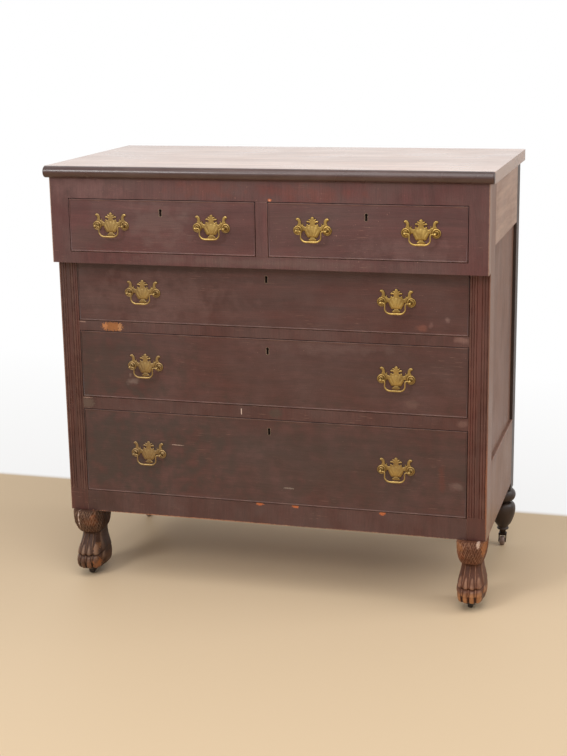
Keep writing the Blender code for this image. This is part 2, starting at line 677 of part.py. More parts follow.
def make_paw_foot(side, label):
    """A hairy paw carved from one block, dowelled under the post, with a caster let into its sole."""
    shape = bmesh.new()
    rise = CASE_BOTTOM - JOINT_GAP - PAW_BOTTOM
    # From the sole up: height, half width, reach to the front and to the back as shares of the paw's
    # size, then how square the ring is and how deep the hollows between its toes are.
    sections = (
        (0.00, 0.86, 0.67, 0.83, 2.6, 0.9),
        (0.027, 0.93, 0.85, 0.86, 2.8, 1.0),
        (0.079, 0.98, 0.95, 0.88, 2.9, 1.0),
        (0.152, 1.00, 1.00, 0.91, 3.0, 1.0),
        (0.218, 0.98, 0.95, 0.92, 2.9, 0.9),
        (0.242, 0.96, 0.82, 0.92, 2.8, 0.4),
        (0.279, 0.97, 0.91, 0.92, 2.8, 0.8),
        (0.364, 0.89, 0.82, 0.88, 2.7, 0.6),
        (0.455, 0.78, 0.63, 0.88, 2.6, 0.4),
        (0.546, 0.71, 0.43, 0.90, 2.6, 0.1),
        (0.585, 0.73, 0.44, 0.92, 2.6, 0.0),
        (0.610, 0.82, 0.58, 0.94, 2.8, 0.0),
        (0.680, 0.91, 0.76, 0.96, 3.2, 0.0),
        (0.789, 0.98, 0.95, 0.98, 3.6, 0.0),
        (0.910, 1.00, 1.00, 1.00, 4.0, 0.0),
        (1.00, 1.00, 0.95, 1.00, 4.5, 0.0),
    )
    rings = []
    for height, *section in sections:
        z = PAW_BOTTOM + rise * height
        rings.append([shape.verts.new((x, y, z)) for x, y in paw_ring(*section)])
    for lower, upper in zip(rings, rings[1:]):
        for step in range(PAW_STEPS):
            after = (step + 1) % PAW_STEPS
            shape.faces.new([lower[step], lower[after], upper[after], upper[step]])
    shape.faces.new(rings[0][::-1])
    shape.faces.new(rings[-1])
    place = (side * PAW_CENTRE_X, PAW_CENTRE_Y, 0)
    foot = piece(f"{label}_paw_foot", shape, material("carved wood"), location=place, smooth=True)

    dowel = cylinder(bmesh.new(), DOWEL_RADIUS, CASE_BOTTOM - LAP, CASE_BOTTOM + DOWEL_HEIGHT, "Z")
    boolean(foot, piece(f"{label} dowel", dowel, location=(side * DOWEL_X, DOWEL_Y, 0)), "UNION")
    caster = (side * PAW_CENTRE_X, PAW_CASTER_Y, 0)
    pocket = cylinder(bmesh.new(), POCKET_RADIUS, PAW_BOTTOM - LAP, CASTER_HEIGHT, "Z", segments=20)
    boolean(foot, piece(f"{label} caster pocket", pocket, location=caster), "DIFFERENCE")
    stem_hole = cylinder(bmesh.new(), STEM_RADIUS + JOINT_GAP, CASTER_HEIGHT - LAP,
                         CASTER_HEIGHT + STEM_LENGTH + JOINT_GAP, "Z", segments=8)
    boolean(foot, piece(f"{label} paw stem cutter", stem_hole, location=caster), "DIFFERENCE")


def caster_fork_shape():
    """Two arms that trail forwards from a crown to the axle. Its origin is under the stem, on the floor."""
    crown_bottom = WHEEL_RADIUS * 2 + JOINT_GAP * 6
    crown_top = crown_bottom + CROWN_THICKNESS
    crown = box(
        bmesh.new(),
        (-FORK_HALF_WIDTH, -COLLAR_RADIUS, crown_bottom),
        (FORK_HALF_WIDTH, COLLAR_RADIUS, crown_top),
    )
    fork = piece("caster fork pattern", crown)
    # Round the axle, in axle radii ahead of it and shares of its height, then up into the crown
    eye = ((-2.0, 1.0), (-1.4, 0.72), (0.0, 0.62), (1.4, 0.72), (2.2, 1.0))
    outline = [(-WHEEL_TRAIL + AXLE_RADIUS * ahead, WHEEL_RADIUS * height) for ahead, height in eye]
    arm_top = crown_bottom + JOINT_GAP * 4
    outline += [(COLLAR_RADIUS * 0.9, arm_top), (-COLLAR_RADIUS * 0.8, arm_top)]
    for side in (-1, 1):
        inner = side * (FORK_HALF_WIDTH - FORK_ARM)
        outer = side * (FORK_HALF_WIDTH - JOINT_GAP)
        boolean(fork, piece(f"fork arm {side}", prism(bmesh.new(), outline, "X", inner, outer)), "UNION")
    stem_foot, seat = crown_top - CROWN_THICKNESS / 2, CASTER_HEIGHT - JOINT_GAP
    stem_top = CASTER_HEIGHT + STEM_LENGTH
    stem_profile = [(0, stem_foot), (COLLAR_RADIUS * 0.8, stem_foot), (COLLAR_RADIUS, seat),
                    (STEM_RADIUS, seat), (STEM_RADIUS, stem_top), (0, stem_top)]
    boolean(fork, piece("caster stem", turned(bmesh.new(), stem_profile, 8)), "UNION")
    axle_hole = cylinder(bmesh.new(), AXLE_RADIUS + PIN_CLEARANCE, -FORK_HALF_WIDTH - LAP,
                         FORK_HALF_WIDTH + LAP, "X", centre=(0, -WHEEL_TRAIL, WHEEL_RADIUS), segments=8)
    boolean(fork, piece("axle hole cutter", axle_hole), "DIFFERENCE")
    return fork


def caster_wheel_shape():
    """A turned roller with its axle, centred on the axle. A flat of its rim rests on the floor."""
    segments = 12
    rim = WHEEL_RADIUS / math.cos(math.pi / segments)
    end, half = FORK_HALF_WIDTH, WHEEL_HALF_WIDTH
    profile = [(0, -end), (AXLE_RADIUS, -end), (AXLE_RADIUS, -half), (rim * 0.82, -half), (rim, -half * 0.6),
               (rim, half * 0.6), (rim * 0.82, half), (AXLE_RADIUS, half), (AXLE_RADIUS, end), (0, end)]
    return turned(bmesh.new(), profile, segments, axis="X", twist=math.pi / segments)


def make_casters():
    """Four alike: two let into the paws, two under the turned feet."""
    iron = material("iron")
    fork_pattern = caster_fork_shape()
    settle(fork_pattern)
    fork_pattern.data.materials.clear()
    fork_pattern.data.materials.append(iron)
    wheel_pattern = piece("caster wheel pattern", caster_wheel_shape())
    wheel_pattern.data.materials.append(material("wheel wood"))
    places = (("front", PAW_CENTRE_X, PAW_CASTER_Y), ("rear", REAR_FOOT_X, REAR_FOOT_Y))
    for end, x, y in places:
        for side, label in ((-1, "left"), (1, "right")):
            swivel = empty(f"{label} {end} caster swivel", (side * x, y, 0))
            fork = copy_of(fork_pattern, f"{label}_{end}_caster_fork", swivel, (0, 0, 0))
            axle = (0, -WHEEL_TRAIL, WHEEL_RADIUS)
            wheel = copy_of(wheel_pattern, f"{label}_{end}_caster_wheel", swivel, axle)
            for made in (fork, wheel):
                made.hide_render = False
                made.display_type = "TEXTURED"


def plate_outline():
    """The pull's back plate: a shield between two round ears, with horns and a crown of leaves."""
    ear, rise = PULL_BORE / 2, PLATE_RISE
    # Right half, from the foot up: shares of the shield's half width and of the plate's drop
    foot = ((0.26, -1.0), (0.52, -0.93), (0.34, -0.82), (0.24, -0.70), (0.42, -0.63), (0.66, -0.65),
            (0.72, -0.55), (0.82, -0.42), (0.95, -0.19), (1.0, -0.03))
    # From the ear in: shares of the ear's radius and of the plate's rise
    horn = ((-0.21, 0.47), (-0.20, 0.64), (0.21, 0.82), (0.0, 0.89), (-0.42, 0.79), (-0.59, 0.61),
            (-0.64, 0.44), (-0.93, 0.41), (-1.23, 0.29))
    # Up to the crown: shares of the shield's half width and of the plate's rise
    crown = ((0.87, 0.26), (0.73, 0.41), (0.53, 0.35), (0.37, 0.485), (0.50, 0.575), (0.77, 0.65),
             (0.47, 0.735), (0.29, 0.725), (0.25, 0.83))
    right = [(SHIELD_HALF_WIDTH * x, PLATE_DROP * z) for x, z in foot]
    for step in range(8):
        angle = math.radians(190 + 35 * step)
        right.append((ear + EAR_RADIUS * math.cos(angle), EAR_RADIUS * math.sin(angle)))
    right += [(ear + EAR_RADIUS * x, rise * z) for x, z in horn]
    right += [(SHIELD_HALF_WIDTH * x, rise * z) for x, z in crown]
    return right + [(0.0, rise)] + [(-x, z) for x, z in reversed(right)]


def pull_plate_shape():
    """Cast plate with two posts. Each has an eye for the bail and a stud through the drawer front."""
    back = -JOINT_GAP
    shape = prism(bmesh.new(), plate_outline(), "Y", back, back - PLATE_THICKNESS)
    plate = piece("pull plate pattern", shape)
    head = POST_HEAD_RADIUS
    profile = [(0, STUD_LENGTH), (STUD_RADIUS, STUD_LENGTH), (STUD_RADIUS, 0), (POST_RADIUS, 0),
               (POST_RADIUS, head * 0.9 - POST_REACH)]
    for step in (1, 2, 3):
        angle = math.pi * step / 4
        profile.append((head * math.sin(angle), head * math.cos(angle) - POST_REACH))
    profile.append((0, -POST_REACH - head))
    for side in (-1, 1):
        post = turned(bmesh.new(), profile, 8, axis="Y", centre=(side * PULL_BORE / 2, 0, 0))
        boolean(plate, piece(f"pull post {side}", post), "UNION")
        inner = side * (PULL_BORE / 2 - POST_HEAD_RADIUS * 2)
        outer = side * (PULL_BORE / 2 + PIN_DEPTH + JOINT_GAP)
        eye = cylinder(bmesh.new(), PIN_RADIUS + PIN_CLEARANCE, min(inner, outer), max(inner, outer), "X",
                       centre=(0, -POST_REACH, 0), segments=8)
        boolean(plate, piece(f"pull eye cutter {side}", eye), "DIFFERENCE")
    return plate


def bail_path():
    """Half of the swinging handle from its pin to the middle of its grip, then mirrored."""
    half, drop = BAIL_HALF_WIDTH, BAIL_DROP
    waist, grip = BAIL_WAIST_RADIUS, BAIL_GRIP_RADIUS
    bend = BAIL_BEND
    path = [(PULL_BORE / 2 + PIN_DEPTH, 0.0, PIN_RADIUS), (half + bend * 1.1, 0.0, PIN_RADIUS),
            (half + bend * 0.25, -bend * 0.30, waist), (half, -bend * 1.1, waist)]
    steps = 4
    for step in range(steps + 1):
        angle = math.pi / 2 * step / steps
        x = half - BAIL_CORNER_WIDTH * (1 - math.cos(angle))
        z = -drop + BAIL_CORNER_HEIGHT * (1 - math.sin(angle))
        path.append((x, z, waist + (grip - waist) / 2 * step / steps))
    path.append((0.0, -drop, grip))
    return path + [(-x, z, radius) for x, z, radius in reversed(path[:-1])]


def tail_spans(height):
    """Centre and half height of each dovetail on a drawer side of that height."""
    count = max(2, round(height / TAIL_PITCH))
    pitch = height / count
    return [((index + 0.5) * pitch, pitch * TAIL_SHARE / 2) for index in range(count)]


def tails(shape, x_low, x_high, root, tip, foot, height, grow):
    """The dovetails at a drawer side's front end, which flare towards the drawer front."""
    for centre, half in tail_spans(height):
        flare = half + (root - tip) * TAIL_SLOPE
        back = root + LAP / 2
        half_back = half - (back - root) * TAIL_SLOPE
        outline = [(tip - grow, foot + centre - flare - grow), (tip - grow, foot + centre + flare + grow),
                   (back, foot + centre + half_back + grow), (back, foot + centre - half_back - grow)]
        prism(shape, outline, "X", x_low, x_high)
    return shape


def make_drawer(label, left, right, bottom, top, face, pull_inset, patterns):
    """Front, box, lock bolt and pulls of one drawer, hung on an empty at its front's lower middle."""
    plate_pattern, bail_pattern = patterns
    middle = (left + right) / 2
    hub = empty(f"{label} drawer", (middle, face + DRAWER_SETBACK, bottom))
    half = (right - left) / 2 - DRAWER_SIDE_GAP
    front_top = top - bottom - DRAWER_TOP_GAP
    keyhole_z = front_top - KEYHOLE_BELOW_TOP

    shape = box(bmesh.new(), (-half, -BEAD_PROUD, DRAWER_FOOT_GAP), (half, FRONT_THICKNESS, front_top))
    shape.faces.ensure_lookup_table()
    show = min(shape.faces, key=lambda item: item.calc_center_median().y)
    bmesh.ops.inset_region(shape, faces=[show], thickness=BEAD_WIDTH, depth=0.0, use_even_offset=True)
    bmesh.ops.inset_region(shape, faces=[show], thickness=BEAD_SLOPE, depth=0.0, use_even_offset=True)
    bmesh.ops.translate(shape, verts=show.verts, vec=(0, BEAD_PROUD, 0))
    front = piece(f"{label}_drawer_front", shape, material("mahogany"), parent=hub)

    slot = box(
        bmesh.new(),
        (-BOLT_WIDTH / 2 - JOINT_GAP, BOLT_INSET - JOINT_GAP, front_top - BOLT_SLOT_DEPTH),
        (BOLT_WIDTH / 2 + JOINT_GAP, BOLT_INSET + BOLT_THICKNESS + JOINT_GAP, front_top + LAP),
    )
    boolean(front, piece(f"{label} bolt slot cutter", slot, parent=hub), "DIFFERENCE")
    hole = cylinder(bmesh.new(), KEYHOLE_RADIUS, -LAP, BOLT_INSET + BOLT_THICKNESS / 2, "Y",
                    centre=(0, 0, keyhole_z), segments=8)
    boolean(front, piece(f"{label} keyhole cutter", hole, parent=hub), "DIFFERENCE")
    slit = box(
        bmesh.new(),
        (-KEYHOLE_SLOT_WIDTH / 2, -LAP, keyhole_z - KEYHOLE_SLOT_DROP),
        (KEYHOLE_SLOT_WIDTH / 2, BOLT_INSET + BOLT_THICKNESS / 3, keyhole_z - JOINT_GAP),
    )
    boolean(front, piece(f"{label} keyhole slit cutter", slit, parent=hub), "DIFFERENCE")

    foot, side_top = JOINT_GAP, front_top - SIDE_TOP_DROP
    box_front = FRONT_THICKNESS + JOINT_GAP
    box_back = BACK_FRONT - DRAWER_BACK_ROOM - (face + DRAWER_SETBACK)
    sockets = bmesh.new()
    dovetails = []
    for side in (-1, 1):
        inner, outer = side * (half - SIDE_THICKNESS), side * half
        reach = FRONT_THICKNESS - TAIL_DEPTH
        tails(sockets, inner - side * JOINT_GAP, outer + side * LAP, FRONT_THICKNESS, reach,
              foot, side_top - foot, JOINT_GAP)
        dovetails.append(tails(bmesh.new(), inner + side * JOINT_GAP / 2, outer - side * JOINT_GAP / 2,
                               FRONT_THICKNESS, reach, foot, side_top - foot, 0.0))
    boolean(front, piece(f"{label} dovetail cutter", sockets, parent=hub), "DIFFERENCE")

    body = box(bmesh.new(), (-half, box_front, foot), (half, box_back, side_top))
    drawer_box = piece(f"{label}_drawer_box", body, material("poplar"), parent=hub)
    inside = half - SIDE_THICKNESS
    floor_top = foot + BOTTOM_RAISE + BOTTOM_THICKNESS
    hollow = box(
        bmesh.new(),
        (-inside, 0, floor_top),
        (inside, box_back - SIDE_THICKNESS, side_top + LAP),
    )
    boolean(drawer_box, piece(f"{label} hollow cutter", hollow, parent=hub), "DIFFERENCE")
    under = box(
        bmesh.new(),
        (-inside, 0, foot - LAP),
        (inside, box_back + LAP, foot + BOTTOM_RAISE),
    )
    boolean(drawer_box, piece(f"{label} underside cutter", under, parent=hub), "DIFFERENCE")
    for index, dovetail in enumerate(dovetails):
        boolean(drawer_box, piece(f"{label} dovetails {index}", dovetail, parent=hub), "UNION")

    bolt_top = front_top - BOLT_TOP_DROP
    bolt = box(bmesh.new(), (-BOLT_WIDTH / 2, 0, -BOLT_HEIGHT), (BOLT_WIDTH / 2, BOLT_THICKNESS, 0))
    piece(f"{label}_lock_bolt", bolt, material("iron"), parent=hub,
          location=(0, BOLT_INSET, bolt_top))

    pull_height = (top - bottom) / 2 + PULL_RAISE
    studs = bmesh.new()
    for side, hand in ((-1, "left"), (1, "right")):
        spot = (side * ((right - left) / 2 - pull_inset), 0, pull_height)
        for hole_side in (-1, 1):
            cylinder(studs, STUD_RADIUS + JOINT_GAP, -LAP, FRONT_THICKNESS + LAP, "Y",
                     centre=(spot[0] + hole_side * PULL_BORE / 2, 0, pull_height), segments=8)
        plate = copy_of(plate_pattern, f"{label}_{hand}_pull_plate", hub, spot)
        pivot = (spot[0], -POST_REACH, pull_height)
        bail = copy_of(bail_pattern, f"{label}_{hand}_pull_bail", hub, pivot)
        for made in (plate, bail):
            made.hide_render = False
            made.display_type = "TEXTURED"
    boolean(front, piece(f"{label} stud hole cutter", studs, parent=hub), "DIFFERENCE")


def make_drawers():
    brass = material("brass")
    plate_pattern = pull_plate_shape()
    settle(plate_pattern)
    bail_pattern = piece("pull bail pattern", swept(bmesh.new(), bail_path(), 6), smooth=True)
    for pattern in (plate_pattern, bail_pattern):
        pattern.data.materials.clear()
        pattern.data.materials.append(brass)
    patterns = (plate_pattern, bail_pattern)
    for side, label in ((-1, "upper_left"), (1, "upper_right")):
        left, right = short_opening(side)
        make_drawer(label, left, right, SHELF_TOP, FRIEZE_BOTTOM, UPPER_FACE, SHORT_PULL_INSET, patterns)
    long_drawers = (("top_long", UPPER_RAIL_TOP, SHELF_BOTTOM),
                    ("middle_long", LOWER_RAIL_TOP, UPPER_RAIL_BOTTOM),
                    ("bottom_long", BASE_TOP, LOWER_RAIL_BOTTOM))
    for label, bottom, top in long_drawers:
        make_drawer(label, -POST_INSIDE, POST_INSIDE, bottom, top, LOWER_FACE, LONG_PULL_INSET, patterns)


clear_scene()
make_top_board()
for hand, hand_label in ((-1, "left"), (1, "right")):
    make_front_post(hand, hand_label)
    make_rear_post(hand, hand_label)
    make_side(hand, hand_label)
    make_paw_foot(hand, hand_label)
make_upper_frame()
make_centre_divider()
make_drawer_rail("upper_drawer_rail", UPPER_RAIL_BOTTOM, UPPER_RAIL_TOP)
make_drawer_rail("lower_drawer_rail", LOWER_RAIL_BOTTOM, LOWER_RAIL_TOP)
make_drawer_rail("base_rail", CASE_BOTTOM, BASE_TOP, pocket=False)
make_back_panel()
make_casters()
make_drawers()
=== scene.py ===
"""Looks of an old mahogany chest of drawers on carved paws and turned feet. Metres, +Z up, front to -Y."""

import json
import math

import bmesh
import bpy
import numpy as np
from mathutils import Matrix, Vector, kdtree, noise
from mathutils.geometry import delaunay_2d_cdt

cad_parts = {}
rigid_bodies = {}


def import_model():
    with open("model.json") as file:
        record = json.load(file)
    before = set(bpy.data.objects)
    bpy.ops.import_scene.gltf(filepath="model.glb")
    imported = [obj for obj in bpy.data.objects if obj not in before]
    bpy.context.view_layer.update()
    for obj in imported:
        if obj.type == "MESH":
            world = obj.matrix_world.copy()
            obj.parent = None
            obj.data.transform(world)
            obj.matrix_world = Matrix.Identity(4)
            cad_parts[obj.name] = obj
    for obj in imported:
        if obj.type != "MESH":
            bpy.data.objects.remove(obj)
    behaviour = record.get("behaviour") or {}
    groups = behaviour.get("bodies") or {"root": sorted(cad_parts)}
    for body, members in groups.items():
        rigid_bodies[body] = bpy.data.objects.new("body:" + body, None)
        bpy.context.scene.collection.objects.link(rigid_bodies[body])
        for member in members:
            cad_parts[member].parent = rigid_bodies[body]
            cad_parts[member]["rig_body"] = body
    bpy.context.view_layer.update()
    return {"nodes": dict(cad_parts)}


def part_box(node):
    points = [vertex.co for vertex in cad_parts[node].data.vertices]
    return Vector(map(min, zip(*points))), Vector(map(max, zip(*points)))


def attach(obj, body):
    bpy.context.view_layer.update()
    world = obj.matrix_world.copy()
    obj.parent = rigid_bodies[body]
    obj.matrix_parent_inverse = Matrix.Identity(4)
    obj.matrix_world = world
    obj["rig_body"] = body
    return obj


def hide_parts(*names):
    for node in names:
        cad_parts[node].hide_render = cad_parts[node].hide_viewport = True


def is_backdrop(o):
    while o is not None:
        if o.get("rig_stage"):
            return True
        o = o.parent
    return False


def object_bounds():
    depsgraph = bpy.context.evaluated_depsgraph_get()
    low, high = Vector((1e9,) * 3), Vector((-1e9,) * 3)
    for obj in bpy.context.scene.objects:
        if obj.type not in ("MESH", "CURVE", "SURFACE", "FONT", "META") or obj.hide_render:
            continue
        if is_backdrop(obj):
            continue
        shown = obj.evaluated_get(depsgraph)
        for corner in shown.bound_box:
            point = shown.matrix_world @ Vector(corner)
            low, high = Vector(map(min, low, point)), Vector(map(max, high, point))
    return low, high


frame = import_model()

# Case front: two reeded posts, three drawer rails, the projecting upper frame and its muntin.
# All are mahogany, the rails faced with cross-cut veneer, tenoned and glued. Years of handling have
# eased the arrises and rubbed them pale.
ARRIS_EASING = 0.0009
REED_EASING = 0.0015
SHORTEST_ARRIS = 0.012
MAHOGANY_DARK = (64, 39, 36)
MAHOGANY_LIGHT = (90, 52, 48)
POST_DARK = (68, 38, 33)
POST_LIGHT = (95, 51, 44)
UPPER_DARK = (71, 43, 43)
UPPER_LIGHT = (102, 61, 60)
BLOOM = (102, 84, 81)
RUBBED = (164, 126, 110)
# The dark of grime, and of painted shade in the gaps beside the drawer fronts
DIRT_AND_GAP_SHADE = (40, 18, 14)
BARE_WOOD = (190, 104, 58)
# Side faces of the front posts: pale from fading and from painted sheen
FADED_AND_SHEEN_SIDE = (142, 106, 88)


def paint(tint):
    """A colour in the eye's numbers, 0 to 255, as the linear values that a shader takes."""
    return (*(((c / 255 + 0.055) / 1.055) ** 2.4 for c in tint), 1.0)


def node(tree, kind, inputs=None, output=0, **settings):
    """Adds a shader node and gives back one of its outputs. Inputs are values or other outputs."""
    made = tree.nodes.new("ShaderNode" + kind)
    for setting, value in settings.items():
        setattr(made, setting, value)
    for socket, value in (inputs or {}).items():
        if isinstance(value, bpy.types.NodeSocket):
            tree.links.new(value, made.inputs[socket])
        else:
            made.inputs[socket].default_value = value
    return made.outputs[output]


def span(tree, value, low, high, to_low=0.0, to_high=1.0):
    """Takes a value from one range to another and holds it there."""
    inputs = {"Value": value, "From Min": low, "From Max": high, "To Min": to_low, "To Max": to_high}
    return node(tree, "MapRange", inputs)


def times(tree, first, second):
    return node(tree, "Math", {0: first, 1: second}, operation="MULTIPLY")


def tinted(tree, share, under, over, kind="MIX"):
    """One colour laid over another by a share from 0 to 1."""
    return node(tree, "Mix", {0: share, 6: under, 7: over}, 2, data_type="RGBA", blend_type=kind)


def cloud(tree, place, scale, detail=3.0):
    return node(tree, "TexNoise", {"Vector": place, "Scale": scale, "Detail": detail})


def streaks(tree, place, along, lengthwise, across, detail=3.0):
    """Noise drawn out along the grain, with so many changes a metre along it and across it."""
    stretch = [across] * 3
    stretch["XYZ".index(along)] = lengthwise
    return cloud(tree, node(tree, "Mapping", {"Vector": place, "Scale": stretch}), 1.0, detail)


# How ragged a mark's edge is: changes a metre, share of the mark's size
CHIP_EDGE = (260.0, 0.4)
STAIN_EDGE = (34.0, 0.6)


def spot(tree, place, centre, half, soft=0.2):
    """1 inside a ragged patch of that centre and half size, 0 outside it, soft over a share of its size."""
    offset = node(tree, "VectorMath", {0: place, 1: centre}, operation="SUBTRACT")
    shares = node(tree, "VectorMath", {0: offset, 1: half}, operation="DIVIDE")
    reach = node(tree, "VectorMath", {0: shares}, "Value", operation="LENGTH")
    scale, ragged = CHIP_EDGE if soft < 0.5 else STAIN_EDGE
    rough_edge = span(tree, cloud(tree, place, scale), 0.3, 0.7, -ragged, ragged)
    edge = node(tree, "Math", {0: reach, 1: rough_edge}, operation="ADD")
    return span(tree, edge, 1.0 - soft, 1.0, 1.0, 0.0)


def wood(name, along, dark, light, bloom=0.35, rubbed=RUBBED, roughness=0.42, coat=0.1, shine=0.4,
         figured=0.45, marks=()):
    """Old polished wood. Marks are (colour, centre, half size, strength) of its chips, scrapes and stains,
    and on the long drawer fronts also of painted shade and light, with a fifth value where the edge is soft."""
    made = bpy.data.materials.new(name)
    made.use_nodes = True
    tree = made.node_tree
    shader = tree.nodes["Principled BSDF"]
    still = node(tree, "TexCoord", output="Object")
    sway = node(tree, "TexNoise", {"Vector": still, "Scale": 2.1, "Detail": 2.0}, "Color")
    sway = node(tree, "VectorMath", {0: sway, 1: (0.05, 0.05, 0.05)}, operation="MULTIPLY")
    place = node(tree, "VectorMath", {0: still, 1: sway}, operation="ADD")

    plank = streaks(tree, place, along, 0.9, 6.0)
    figure = streaks(tree, place, along, 4.0, 60.0, 5.0)
    fibre = streaks(tree, place, along, 16.0, 520.0)
    pores = span(tree, streaks(tree, place, along, 60.0, 1500.0, 1.0), 0.62, 0.72)
    age = cloud(tree, still, 5.5, 4.0)
    mottle = cloud(tree, still, 17.0, 5.0)
    fleck = times(tree, span(tree, cloud(tree, still, 210.0, 1.0), 0.74, 0.79), span(tree, age, 0.46, 0.58))
    scratch = times(tree, span(tree, streaks(tree, still, "X", 34.0, 560.0, 1.0), 0.68, 0.73),
                    span(tree, cloud(tree, still, 9.0), 0.52, 0.62))

    ribbon = node(tree, "Mix", {0: 0.45, 2: figure, 3: plank})
    ribbon = span(tree, ribbon, 0.38, 0.62, 0.5 - figured, 0.5 + figured)
    colour = tinted(tree, ribbon, paint(dark), paint(light))
    colour = tinted(tree, times(tree, pores, 0.35), colour, paint([c * 0.55 for c in dark]))
    haze = span(tree, node(tree, "Mix", {0: 0.5, 2: age, 3: mottle}), 0.4, 0.66, 0.0, bloom)
    colour = tinted(tree, haze, colour, paint(BLOOM))
    colour = tinted(tree, times(tree, fleck, 0.5), colour, paint(rubbed))
    colour = tinted(tree, times(tree, scratch, 0.3), colour, paint(rubbed))
    for tint, centre, half, strength, *soft in marks:
        share = times(tree, spot(tree, still, centre, half, *soft), strength)
        colour = tinted(tree, share, colour, paint(tint))
    grit = node(tree, "Mix", {0: 0.45, 2: fibre, 3: cloud(tree, still, 420.0, 2.0)})
    shade = node(tree, "CombineColor", {part: span(tree, grit, 0.34, 0.66, 0.82, 1.16) for part in range(3)})
    colour = tinted(tree, 1.0, colour, shade, "MULTIPLY")
    arris = node(tree, "Attribute", output="Fac", attribute_name="wear_and_gap_shade")
    handled = span(tree, cloud(tree, still, 30.0, 5.0), 0.38, 0.58, 0.2, 1.0)
    colour = tinted(tree, times(tree, span(tree, arris, 0.0, 1.0), handled), colour, paint(rubbed))
    # Below 0 the attribute darkens the arris: grime, and painted shade of the gaps beside the drawer fronts
    colour = tinted(tree, span(tree, arris, -1.0, 0.0, 1.0, 0.0), colour, paint(DIRT_AND_GAP_SHADE))

    relief = node(tree, "Math", {0: times(tree, fibre, 0.5), 1: pores}, operation="SUBTRACT")
    bumps = node(tree, "Bump", {"Height": relief, "Strength": 0.25, "Distance": 0.0003})
    tree.links.new(colour, shader.inputs["Base Color"])
    tree.links.new(span(tree, age, 0.3, 0.7, roughness - 0.07, roughness + 0.09), shader.inputs["Roughness"])
    tree.links.new(bumps, shader.inputs["Normal"])
    shader.inputs["Coat Weight"].default_value = coat
    shader.inputs["Coat Roughness"].default_value = 0.22
    shader.inputs["Specular IOR Level"].default_value = shine
    return made


JOIN_WITHIN = 1e-5
FLAT_ANGLE = 0.02
SHARP_ANGLE = 0.6


def worked(piece, easing=ARRIS_EASING, shortest=SHORTEST_ARRIS, wear=0.4, dirt_and_gap_shade=0.0):
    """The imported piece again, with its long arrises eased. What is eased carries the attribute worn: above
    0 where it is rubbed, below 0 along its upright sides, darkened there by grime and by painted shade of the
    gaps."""
    shape = bmesh.new()
    shape.from_mesh(frame["nodes"][piece].data)
    bmesh.ops.remove_doubles(shape, verts=shape.verts, dist=JOIN_WITHIN)
    bmesh.ops.dissolve_limit(shape, angle_limit=FLAT_ANGLE, verts=shape.verts, edges=shape.edges)
    wear_and_gap_shade = shape.faces.layers.float.new("wear_and_gap_shade")
    arrises = [edge for edge in shape.edges if edge.is_manifold and edge.is_convex
               and edge.calc_face_angle() > SHARP_ANGLE and edge.calc_length() > shortest]
    cut = bmesh.ops.bevel(shape, geom=arrises, offset=easing, offset_type="OFFSET", affect="EDGES",
                          segments=3, profile=0.5, material=-1, clamp_overlap=True)
    for face in cut["faces"]:
        upright = abs(face.normal.x) > abs(face.normal.z)
        face[wear_and_gap_shade] = -dirt_and_gap_shade if dirt_and_gap_shade and upright else wear
    return shape


def visible(name, shape, look, body, crease=40.0):
    """Turns the shape into a visible piece that rides on a body. Edges sharper than the crease stay sharp."""
    mesh = bpy.data.meshes.new(name)
    shape.to_mesh(mesh)
    shape.free()
    mesh.shade_smooth()
    mesh.set_sharp_from_angle(angle=math.radians(crease))
    mesh.materials.append(look)
    made = bpy.data.objects.new(name, mesh)
    bpy.context.scene.collection.objects.link(made)
    shading = made.modifiers.new("flats stay flat", "WEIGHTED_NORMAL")
    shading.keep_sharp = True
    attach(made, body)
    return made


def finished(piece, shape, look, crease=40.0):
    """The visible piece that stands in the place of a packed one, on the same body."""
    made = visible(f"{piece}_finished", shape, look, frame["nodes"][piece]["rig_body"], crease)
    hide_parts(piece)


post_low, post_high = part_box("right_front_post")
base_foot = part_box("base_rail")[0].z
upper_low, upper_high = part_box("upper_front_frame")
LOWER_FACE = post_low.y
UPPER_FACE = upper_low.y

